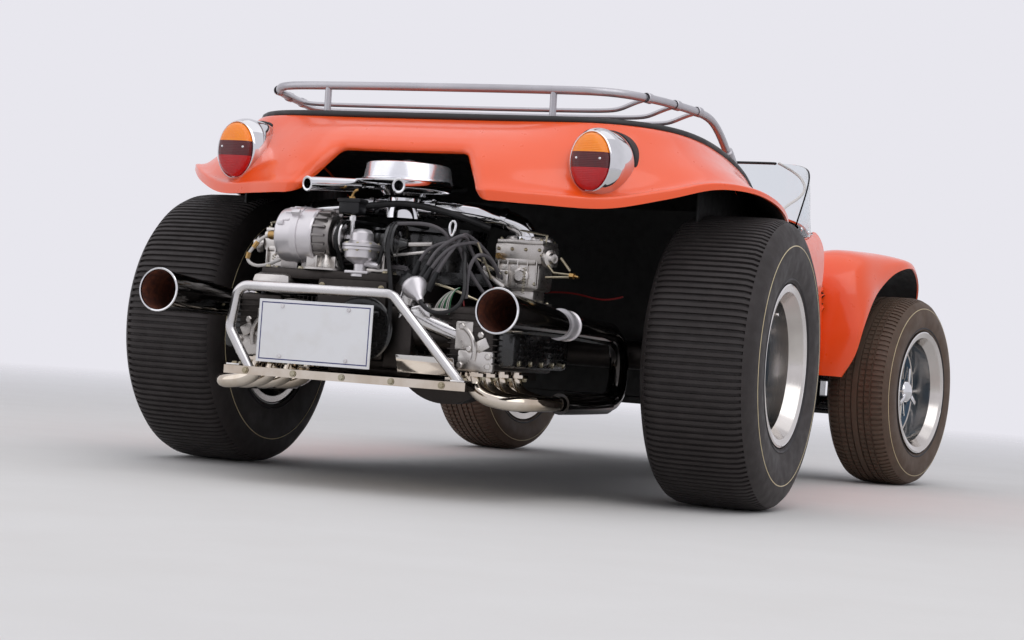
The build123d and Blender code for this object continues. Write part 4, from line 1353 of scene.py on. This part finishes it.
class BUGGY_OT_carburettors(bpy.types.Operator):
    """Twin-throat carburettors: bowls, webs, top plate, screws, levers, rods and unions"""

    bl_idname = "buggy.carburettors"
    bl_label = "Carburettors"

    def execute(self, context):
        for side, name in SIDES:
            x, y = side * CARBURETTOR[0], CARBURETTOR[1]
            cast = [brick(centre, size, bevel) for centre, size, bevel in (
                ((x, y, 478), (112, 104, 16), 3), ((x, y, 500), (80, 80, 34), 8),
                ((x, 1218, 548), (112, 98, 68), 10), ((x, y, 603), (128, 112, 50), 7),
                ((x, y, 632), (120, 104, 10), 2), ((x, 1262, 584), (92, 20, 12), 3),
                ((x - side * 36, 1272, 540), (34, 18, 44), 6))]
            cast += [brick((x + dx, 1268.5, 556), (3.6, 10, 58)) for dx in (-50, -26, 0, 26, 50)]
            cast += [turned([(0, 0), (0, 31), (6, 31), (12, 27), (12, 0)], (x + dx, 1206, 636), UP, 32)
                     for dx in (-30, 30)]
            cast += [turned([(0, 0), (0, 20), (7, 20), (10, 14), (16, 12), (16, 0)], (x + side * 10, 1268, 548),
                            TO_REAR, 28),
                     turned([(0, 0), (0, 22), (8, 24), (14, 22), (18, 14), (26, 11), (26, 0)], (side * 392, 1256, 594),
                            (side * 0.9, 0.45, 0), 28),
                     brick((side * 283, 1328, 535), (74, 10, 12), 4, turn_about("Y", side * 0.55)),
                     brick((side * 262, 1310, 560), (12, 50, 12), 4)]
            spots = [((x + dx, y + dy, 637), UP) for dx in (-52, 0, 52) for dy in (-44, 44)]
            spots += [((x + dx, y + dy, 486), UP) for dx in (-46, 46) for dy in (-40, 40)]
            spots += [((x + dx, 1270, 613), TO_REAR) for dx in (-54, -18, 18, 54)]
            spots += [((x - side * 36 + dx, 1281, 540 + dz), TO_REAR) for dx, dz in ((-11, 14), (11, -14))]
            spots += [((side * 381, 1240, 649), UP), ((x + side * 46, 1267.8, 530), TO_REAR)]
            zinc = copies(screw(4.6, 5), spots)
            # The right side alone has the linkage and the brass union at its outer end.
            rods = [([(309, 1240, 662), (381, 1240, 652)], 2.6, False),
                    ([(381, 1240, 650), (380, 1245, 622), (376, 1254, 600)], 2.4, True)]
            if side < 0:
                rods += [([(380, 1270, 602), (400, 1270, 578), (416, 1270, 560), (464, 1270, 557)], 3.4, False),
                         ([(430, 1262, 597), (458, 1268, 566)], 3.4, False),
                         ([(395, 1266, 548), (464, 1268, 552)], 3.4, False)]
            rods += [([(265, 1395, 616), (269, 1380, 594), (279, 1360, 563), (282, 1340, 535)], 3, True),
                     ([(300, 1322, 548), (230, 1320, 585), (100, 1100, 660)], 2.6, False)]
            zinc += [hose(mirrored(side, points), radius, 8, smooth) for points, radius, smooth in rods]
            coil = [(345 + 4.5 * math.cos(t * 1.05), 1283 + 4.5 * math.sin(t * 1.05), 505 + 1.2 * t) for t in range(54)]
            zinc.append(hose(mirrored(side, coil), 0.9, 4))
            brass = [] if side > 0 else [disc(8, 12, (-465, 1270, 555), (-1, 0.2, -0.1), 6, -6),
                                         rod((-468, 1270, 555), (-482, 1272, 552), 4)]
            brass.append(disc(8, 14, (x - side * 48, 1270, 594), TO_REAR, 6))
            joined(coat("cast_aluminium", *cast) + coat("zinc", *zinc) + coat("brass", *brass),
                   f"carburettor_detail_{name}", instead_of=f"carburettor_{name}")
        return {"FINISHED"}


def radial(centre, out, far, size):
    """A small block on the generator, standing out from its axis."""
    turn = Matrix((TO_LEFT, out, TO_LEFT.cross(out))).transposed()
    return brick(centre + out * far, size, 1, turn)


class BUGGY_OT_generator(bpy.types.Operator):
    """Generator with its band, vanes, pulley, belt, pipe loop and the guide pulley"""

    bl_idname = "buggy.generator"
    bl_label = "Generator and belt"

    def execute(self, context):
        centre, along = Vector(GENERATOR), TO_LEFT
        shell = [turned([(176, 0), (176, 66), (180, 69.5), (262, 69.5), (276, 66), (284, 55), (287, 30), (288, 0)],
                        centre, along, 64),
                 turned([(216, 69.5), (216.5, 71.8), (233.5, 71.8), (234, 69.5)], centre, along, 64),
                 brick(centre + Vector((225, 10, -85)), (18, 20, 50), 3),
                 brick(centre + Vector((225, 55, 52)), (24, 16, 12), 2, turn_about("X", 0.8)),
                 brick(centre + Vector((262, 66, 26)), (16, 6, 10))]
        shell += [radial(centre + along * 250, out, 69.8, (18, 4, 6)) for out in spread(7, TO_REAR, UP, 30, 20)]
        vanes = [turned([(136, 0), (136, 52), (140, 56), (172, 64), (176, 62), (176, 0)], centre, along, 56)]
        vanes += [radial(centre + along * 158, out, 63, (34, 10, 6)) for out in spread(18, TO_REAR, UP)]
        vanes.append(brick((205, 1380, 536), (110, 50, 34), 6))
        wheel = [turned([(106, 0), (108, 10), (109, 20), (113, 33), (108, 42.5), (112, 44), (119, 36), (125, 44),
                         (129, 42.5), (131, 20), (138, 20), (138, 0)], centre, along, 48),
                 turned([(98, 0), (98, 9), (107, 10), (107, 0)], centre, along, 6)]
        joined(coat("generator_silver", *shell) + coat("vane_grey", *vanes) + coat("satin_aluminium", *wheel),
               "generator", instead_of="alternator")

        drum = turned([(-46, 0), (-46, 30), (-50, 46), (-48, 52), (-54, 53.5), (-60, 47), (-66, 53.5), (-72, 52),
                       (-70, 44), (-66, 30), (-72, 18), (-82, 14), (-90, 10), (-92, 0)], (0, 1410, 603), along, 56)
        fan = turned([(0, 0), (0, 58), (5, 62), (10, 56), (15, 62), (20, 58), (20, 0)], (0, 1150, 645.5), UP, 48)
        bracket = [brick((-34, 1408, 570), (8, 40, 100), 3), brick((-20, 1404, 535), (60, 50, 10), 3),
                   rod((-92, 1410, 603), (-150, 1402, 607), 6, 10), rod((-60, 1418, 575), (-150, 1412, 588), 4.5, 10)]
        joined(coat("black_enamel", drum, fan) + coat("cast_aluminium", *bracket), "belt_wheels")
        belt = hose([
            (-82, 1470, 440), (-80, 1468, 500), (-66, 1465, 560), (-60, 1463, 600), (-60, 1450, 640), (-60, 1412, 657),
            (-59, 1350, 656), (-54, 1160, 657), (-30, 1098, 657), (0, 1089, 657), (30, 1098, 657), (62, 1160, 657),
            (96, 1340, 657), (100, 1372, 656), (99, 1412, 645), (99, 1429, 613), (99, 1420, 586), (96, 1396, 562),
            (88, 1388, 520), (74, 1420, 470), (62, 1460, 420), (54, 1468, 366), (20, 1468, 325), (-30, 1468, 318),
            (-72, 1468, 350), (-84, 1470, 396)], 5.5, 8, cyclic=True)
        joined(coat("hose_rubber", belt), "fan_belt", angle=40.0)
        loop = hose([(306, 1385, 611), (324, 1390, 604), (338, 1396, 582), (352, 1400, 564), (356, 1401, 546),
                     (344, 1400, 534), (318, 1399, 529), (288, 1395, 540), (262, 1390, 552)], 4.2)
        knobs = [turned([(-40, 0), (-40, 10), (6, 12), (12, 10), (12, 0)], (294, 1385, 611), along, 16),
                 disc(6.2, 18, (337, 1395, 584), (0.5, 0.2, -0.8), 6, -9),
                 disc(6.2, 16, (353, 1400.5, 556), (0.2, 0, -1), 6, -8)]
        joined(coat("pale_trim", loop) + coat("brass", *knobs), "generator_pipe")
        return {"FINISHED"}


# Leads from the cap and the case; the first four leave the cap under a boot.
LEADS = (
    [(-150, 1462, 512), (-170, 1461, 560), (-185, 1458, 590), (-217, 1450, 614), (-238, 1440, 630), (-250, 1425, 628),
     (-241, 1400, 612), (-262, 1370, 560), (-290, 1330, 500), (-300, 1300, 470)],
    [(-128, 1450, 520), (-142, 1452, 566), (-158, 1450, 592), (-189, 1445, 607), (-219, 1440, 614), (-232, 1430, 606),
     (-236, 1412, 580), (-256, 1390, 530), (-286, 1370, 490), (-300, 1350, 470)],
    [(-178, 1468, 496), (-196, 1462, 541), (-213, 1452, 578), (-229, 1440, 606), (-238, 1422, 634), (-240, 1400, 634),
     (-262, 1350, 610), (-280, 1290, 560), (-300, 1250, 500)],
    [(-160, 1468, 506), (-180, 1462, 550), (-200, 1455, 580), (-226, 1448, 605), (-245, 1420, 612), (-262, 1388, 620),
     (-256, 1340, 600), (-244, 1300, 560)],
    [(-72, 1440, 650), (-109, 1440, 653), (-144, 1436, 654), (-174, 1430, 646), (-196, 1425, 632), (-205, 1420, 612),
     (-190, 1420, 560), (-160, 1440, 520)],
    [(-265, 1440, 480), (-263, 1440, 531), (-268, 1438, 560), (-277, 1432, 582), (-287, 1415, 591), (-300, 1380, 580),
     (-300, 1330, 540)],
)
LEFT_LEADS = (
    [(300, 1395, 480), (296, 1400, 520), (240, 1380, 545), (120, 1370, 560), (0, 1380, 560), (-100, 1430, 545)],
    [(300, 1245, 480), (270, 1300, 520), (160, 1340, 550), (20, 1370, 556), (-104, 1430, 540)],
)


class BUGGY_OT_ignition(bpy.types.Operator):
    """Distributor with boots and leads, vacuum cone with its hose, clip and thin wires"""

    bl_idname = "buggy.ignition"
    bl_label = "Ignition and wiring"

    def execute(self, context):
        lean, foot = (-0.35, 0.1, 0.93), (-104, 1432, 452)
        shaft = turned([(-30, 0), (-30, 16), (10, 16), (12, 24), (50, 26), (52, 0)], foot, lean)
        cap = turned([(50, 0), (50, 37), (70, 37), (78, 30), (84, 28), (86, 0)], foot, lean)
        leads = [hose(line, 4.6, detail=6) for line in LEADS] + [hose(line, 4.2, 8, detail=6) for line in LEFT_LEADS]
        boots = [turned([(-4, 0), (-4, 8.5), (20, 8.5), (36, 6.6), (46, 6.2), (46, 0)], line[0],
                        Vector(line[1]) - Vector(line[0]), 14) for line in LEADS[:4]]
        boots += [turned([(0, 0), (0, 10), (22, 9), (30, 6), (30, 0)], (side * 300, y, 455), (0, 0.1, 1), 14)
                  for side, _ in SIDES for y in (1395, 1245, 1105)]
        joined(coat("black_plastic", *boots, cap) + coat("lead_rubber", *leads) + coat("satin_aluminium", shaft),
               "ignition_leads")

        wide, tip = Vector((-147, 1478, 497)), Vector((-174, 1499, 465))
        axis = (tip - wide).normalized()
        cone = turned([(-16, 0), (-16, 24), (-10, 30), (-2, 31.5), (2, 30), (10, 27.5), (34, 10.5), (46, 8), (46, 0)],
                      wide, axis, 40)
        arm = hose([wide - axis * 14, (-135, 1460, 510), (-115, 1440, 500)], 8, smooth=False)
        pipe = hose([(-173, 1498, 466), (-180, 1502, 456), (-196, 1502, 445), (-220, 1500, 439), (-250, 1495, 445),
                     (-270, 1485, 463), (-273, 1470, 492), (-265, 1455, 526), (-253, 1440, 559), (-250, 1425, 584),
                     (-230, 1410, 603), (-205, 1380, 615)], 5.2)
        ring = hose([(-217, 1442, 622), (-209, 1442, 640), (-210, 1442, 658), (-219, 1442, 665), (-227, 1442, 655),
                     (-223, 1442, 638)], 2.8, 8, cyclic=True)
        joined(coat("generator_silver", cone) + coat("cast_aluminium", arm) + coat("hose_rubber", pipe) +
               coat("chrome", ring), "vacuum_cone")
        wires = []
        for step in range(9):
            s = step * 5.2
            wires += coat(("wire_green", "wire_white", "pale_trim")[step % 3], hose([
                (-243 + s * 0.25, 1430, 506 - s * 0.1), (-232 + s * 0.5, 1432, 500 - s * 0.2),
                (-224 + s * 0.75, 1434, 486 - s * 0.3), (-222 + s * 0.9, 1436, 466 - s * 0.2), (-222 + s, 1436, 440)],
                1.3, 6, detail=5))
        for key, line, radius, sides in (
                ("pale_trim", [(-176, 1440, 447), (-200, 1444, 452), (-226, 1440, 447)], 4.2, 8),
                ("wire_red", [(-252, 1430, 507), (-252, 1432, 480), (-258, 1432, 455), (-262, 1430, 440)], 2, 6),
                ("wire_red", [(-293, 1000, 520), (-348, 1000, 527), (-416, 1000, 516), (-458, 1000, 506),
                              (-505, 1000, 521)], 2.4, 6),
                ("zinc", [(-300, 1380, 470), (-270, 1420, 478), (-220, 1440, 512), (-160, 1440, 512)], 3, 6)):
            wires += coat(key, hose(line, radius, sides))
        joined(wires, "wiring")
        return {"FINISHED"}


class BUGGY_OT_fuel(bpy.types.Operator):
    """Fuel pump with its flange and dome, black box with a brass elbow, pipes"""

    bl_idname = "buggy.fuel"
    bl_label = "Fuel pump and pipes"

    def execute(self, context):
        x, y = 28, 1424
        pump = [turned([(0, 0), (0, 24), (6, 24), (8, 16), (30, 16), (40, 34), (46, 40), (64, 40.5), (65, 47.5),
                        (71, 47.5), (72, 43), (73, 47.5), (79, 47.5), (82, 39), (86, 31), (88, 28), (106, 27),
                        (114, 20), (117, 8), (117, 0)], (x, y, 517.5), UP, 56),
                hose([(x, y, 556), (x - 30, y + 8, 548), (x - 55, y + 10, 546)], 8.5, 14),
                brick((x, y, 528), (64, 46, 8), 3)]
        spots = []
        for out in spread(8, TO_LEFT, TO_REAR, math.degrees(0.2)):
            spots += [(Vector((x, y, 596.5)) + out * 41, UP), (Vector((x, y, 582.5)) + out * 41, -UP)]
        nuts = copies(bolt(3.6, 4), spots)
        pipes = [rod((68, 1398, 575), (70, 1398, 668), 6.2, 12), disc(8.8, 10, (70, 1398, 655), UP, 6)]
        box = [brick((73, 1400, 687), (56, 42, 30), 4), brick((73, 1400, 703.5), (64, 48, 10), 3)]
        elbow = [hose([(75, 1400, 706), (75, 1400, 722), (70, 1402, 729), (60, 1400, 731)], 3.6),
                 disc(8, 6, (75, 1400, 708), UP, 6)]
        hoses = [hose([(-18, 1434, 546), (-34, 1440, 552), (-40, 1442, 600), (-44, 1436, 640)], 4.5, 8),
                 hose([(104, 1380, 690), (70, 1352, 694), (0, 1330, 708), (-60, 1330, 707), (-140, 1328, 694),
                       (-200, 1318, 678), (-250, 1290, 660)], 8.5, 12)]
        tubes = [hose([(-130, 1440, 432), (-200, 1436, 408), (-262, 1420, 386)], 21, 18),
                 brick((-155, 1438, 440), (50, 40, 40), 8, turn_about("Y", 0.3))]
        joined(coat("generator_silver", *pump) + coat("zinc", *nuts) + coat("satin_aluminium", *pipes) +
               coat("black_plastic", *box) + coat("brass", *elbow) + coat("hose_rubber", *hoses) +
               coat("satin_aluminium", *tubes), "fuel_pump_and_pipes")
        return {"FINISHED"}


class BUGGY_OT_engine(bpy.types.Operator):
    """Bolts of the covers and the fan guard on the cooling shroud"""

    bl_idname = "buggy.engine"
    bl_label = "Engine details"

    def execute(self, context):
        spots = [((side * 389.5, y, z), (side, 0, 0)) for side, _ in SIDES
                 for y in (1090, 1165, 1240, 1315, 1390) for z in (336, 418)]
        spots += [((x, 1450.3, z), TO_REAR) for x in (-45, 115) for z in (335, 380, 440, 490)]
        spots += [((x, y, 529), UP) for x in (-45, 185, 275) for y in (1385, 1434)]
        bolts = copies(bolt(6.5, 6), spots)
        guard = []
        for a in (math.tau * step / 16 for step in range(16)):
            out = Vector((math.cos(a), math.sin(a), 0))
            guard.append(brick(Vector((0, 1150, 640.5)) + out * 90, (52, 4, 6), 1, turn_about("Z", a + 0.5)))
        guard.append(turned([(0, 118), (4, 122), (6, 118), (2, 114)], (0, 1150, 640), UP, 56))
        joined(coat("zinc", *bolts) + coat("black_enamel", *guard), "engine_bolts")
        return {"FINISHED"}


# ---------------------------------------------------------------- cockpit

class BUGGY_OT_cockpit(bpy.types.Operator):
    """Instruments, pedals, seat piping, hand brake, floor mats and steering boss"""

    bl_idname = "buggy.cockpit"
    bl_label = "Cockpit"

    def execute(self, context):
        dials, faces = [], []
        for x, z, r in ((290, 792, 52), (110, 790, 29), (30, 790, 29), (-50, 790, 29)):
            spot = (x, DASH_Y, z)
            dials.append(turned([(0, r * 0.94), (0, r * 1.08), (4, r * 1.10), (8, r * 1.04), (8, r * 0.94)], spot,
                                TO_REAR, 40))
            faces.append(disc(r * 0.95, 2, spot, TO_REAR, 40, 0.5))
            dials.append(brick((x - r * 0.28, -458, z + r * 0.22), (r * 0.8, 1.2, 1.8), 0.3,
                               turn_about("Y", math.radians(38))))
        for x in (-130, -170, -210):
            dials += [rod((x, DASH_Y, 790), (x, DASH_Y + 10, 790), 7, 10), rod((x, -453, 790), (x, -436, 797), 2.8)]
        joined(coat("chrome", *dials) + coat("dial_face", *faces), "instruments")

        pedals = []
        for x, wide in ((210, 58), (290, 58), (375, 40)):
            pedals += coat("hose_rubber", brick((x, -760, 400), (wide, 10, 70), 4, turn_about("X", -0.45)))
            pedals += coat("zinc", hose([(x, -770, 395), (x, -815, 340), (x, -820, 263.5)], 6, 8))
        pedals += coat("chrome", hose([(0, 20, 398), (0, -30, 430), (0, -160, 470)], 9))
        pedals += coat("black_plastic", rod((0, -100, 453.5), (0, -185, 478), 14, 12))
        joined(pedals, "pedals_and_brake")

        piping = []
        for side, _ in SIDES:
            x = side * 312
            back = [(150, 106, 392), (165, 99, 500), (155, 115, 640), (120, 150, 740)]
            base = [(165, 60, 382), (168, -100, 384), (160, -240, 376), (100, -268, 366)]
            for line in (mirrored(-1, back) + [(0, 170, 782)] + back[::-1], mirrored(-1, base) + base[::-1]):
                piping.append(hose([(x + dx, y, z) for dx, y, z in line], 5))
            for y in range(-205, 36, 40):
                roll = ((-140, 371), (-50, 374), (50, 374), (140, 371))
                piping.append(hose([(x + dx, y, z) for dx, z in roll], 19, 14))
        joined(coat("black_vinyl", *piping), "seat_piping")

        mats = [brick((side * 315, -550, 264.5), (400, 460, 5), 2) for side, _ in SIDES]
        joined(coat("carpet", *mats), "floor_mats")
        hub, axis = Vector((290, -300, 800)), Vector((0, 0.94, 0.34)).normalized()
        boss = turned([(10, 0), (10, 40), (16, 42), (22, 34), (28, 18), (29, 0)], hub, axis, 40)
        low = Vector((0, 0.34, -0.94)).normalized()
        spots = [(hub + out * far + axis * 2.5, axis)
                 for out in spread(3, TO_LEFT, low, 90) for far in (70, 100, 130)]
        holes = copies(turned([(0, 0), (0, 8), (1.2, 7), (1.2, 0)], (0, 0, 0), UP, 20), spots)
        joined(coat("black_plastic", boss, *holes), "steering_boss", "steering_wheel")
        return {"FINISHED"}


# ---------------------------------------------------------------- stage

# Camera of the photo in metres and degrees, and the lamps: place, target, size and power.
CAMERA_PLACE = (-2.1852, 5.8874, 0.3562)
CAMERA_YAW, CAMERA_PITCH, CAMERA_ROLL = 22.03, 0.96, 4.12
CAMERA_LENS = 71.83
LAMPS = {
    "key": ((-3.5, 3.5, 5.5), (0, 0.4, 0.5), 6.0, 130.0),
    "fill": ((4.5, 4.0, 3.5), (0, 0.8, 0.5), 6.0, 60.0),
    "top": ((0.0, 0.0, 6.5), (0, 0, 0), 8.0, 80.0),
}


def studio_world():
    """Pale surroundings, a little dimmer as a light than to the camera and in reflections."""
    world = bpy.data.worlds.new("studio")
    world.use_nodes = True
    tree = world.node_tree
    tree.nodes.clear()
    out, shown, lit, ray, both, seen, blend = (tree.nodes.new("ShaderNode" + kind) for kind in (
        "OutputWorld", "Background", "Background", "LightPath", "Math", "Math", "MixShader"))
    for node, shade, strength in ((shown, (232, 231, 238), 1.0), (lit, (226, 230, 240), 0.75)):
        node.inputs["Color"].default_value = colour(*shade)
        node.inputs["Strength"].default_value = strength
    both.operation = seen.operation = "ADD"
    seen.use_clamp = True
    for source, socket in ((ray.outputs["Is Camera Ray"], both.inputs[0]),
                           (ray.outputs["Is Glossy Ray"], both.inputs[1]),
                           (both.outputs[0], seen.inputs[0]), (ray.outputs["Is Transmission Ray"], seen.inputs[1]),
                           (seen.outputs[0], blend.inputs[0]), (lit.outputs[0], blend.inputs[1]),
                           (shown.outputs[0], blend.inputs[2]), (blend.outputs[0], out.inputs["Surface"])):
        tree.links.new(source, socket)
    return world


class BUGGY_OT_stage(bpy.types.Operator):
    """Pale floor, soft lamps and the camera at the photographed angle"""

    bl_idname = "buggy.stage"
    bl_label = "Stage"

    def execute(self, context):
        scene = context.scene
        deselect()
        bpy.ops.mesh.primitive_plane_add(size=60.0, location=(0, 0, 0))
        floor = context.object
        floor.name = "floor"
        made = Finish("pale_floor", colour(214, 210, 204), 0.9)
        made.paint(made.mix(made.noise(3.0, 6.0), colour(222, 219, 216), colour(214, 210, 206)))
        made.bump(made.noise(70.0, 8.0, 0.7), 0.002, 0.3)
        made.fade(3.4, 11.0)
        floor.data.materials.append(made.material)
        scene.world = studio_world()

        for name, (place, target, size, power) in LAMPS.items():
            bpy.ops.object.light_add(type="AREA", location=place)
            lamp = context.object
            lamp.name = name
            lamp.data.size = size
            lamp.data.energy = power
            lamp.rotation_euler = (Vector(target) - Vector(place)).to_track_quat("-Z", "Y").to_euler()

        yaw, pitch, roll = (math.radians(v) for v in (CAMERA_YAW, CAMERA_PITCH, CAMERA_ROLL))
        look = Vector((math.sin(yaw) * math.cos(pitch), -math.cos(yaw) * math.cos(pitch), math.sin(pitch)))
        right = look.cross(UP).normalized()
        up = right.cross(look)
        across = right * math.cos(roll) + up * math.sin(roll)
        upward = up * math.cos(roll) - right * math.sin(roll)
        bpy.ops.object.camera_add(location=CAMERA_PLACE)
        camera = context.object
        camera.name = "camera"
        turn = Matrix((across, upward, -look)).transposed().to_4x4()
        camera.matrix_world = Matrix.Translation(Vector(CAMERA_PLACE)) @ turn
        camera.data.lens = CAMERA_LENS
        camera.data.sensor_width = 36.0
        camera.data.sensor_fit = "HORIZONTAL"
        camera.data.clip_end = 200.0
        scene.camera = camera
        scene.view_settings.view_transform = "Standard"
        return {"FINISHED"}


OPERATORS = (
    BUGGY_OT_finishes, BUGGY_OT_body, BUGGY_OT_rear_tyres, BUGGY_OT_front_tyres, BUGGY_OT_wheel_fittings,
    BUGGY_OT_lamps, BUGGY_OT_screen_trim, BUGGY_OT_deck, BUGGY_OT_edge, BUGGY_OT_rack, BUGGY_OT_hoop,
    BUGGY_OT_castings, BUGGY_OT_headers, BUGGY_OT_exhausts, BUGGY_OT_air, BUGGY_OT_carburettors,
    BUGGY_OT_generator, BUGGY_OT_ignition, BUGGY_OT_fuel, BUGGY_OT_engine, BUGGY_OT_cockpit, BUGGY_OT_stage,
)


class BUGGY_PT_panel(bpy.types.Panel):
    """Steps that dress the buggy, in order"""

    bl_idname = "BUGGY_PT_panel"
    bl_label = "Dune buggy"
    bl_space_type = "VIEW_3D"
    bl_region_type = "UI"
    bl_category = "Buggy"

    def draw(self, context):
        settings = context.scene.buggy_finish
        for key in settings.bl_rna.properties.keys():
            if key not in ("rna_type", "name"):
                self.layout.prop(settings, key)
        for step in OPERATORS:
            self.layout.operator(step.bl_idname)


CLASSES = (FinishSettings, *OPERATORS, BUGGY_PT_panel)


def register():
    for item in CLASSES:
        bpy.utils.register_class(item)
    bpy.types.Scene.buggy_finish = bpy.props.PointerProperty(type=FinishSettings)


def unregister():
    del bpy.types.Scene.buggy_finish
    for item in reversed(CLASSES):
        bpy.utils.unregister_class(item)


def main():
    register()
    for step in OPERATORS:
        group, name = step.bl_idname.split(".")
        getattr(getattr(bpy.ops, group), name)()
    deselect()


if __name__ == "__main__":
    main()
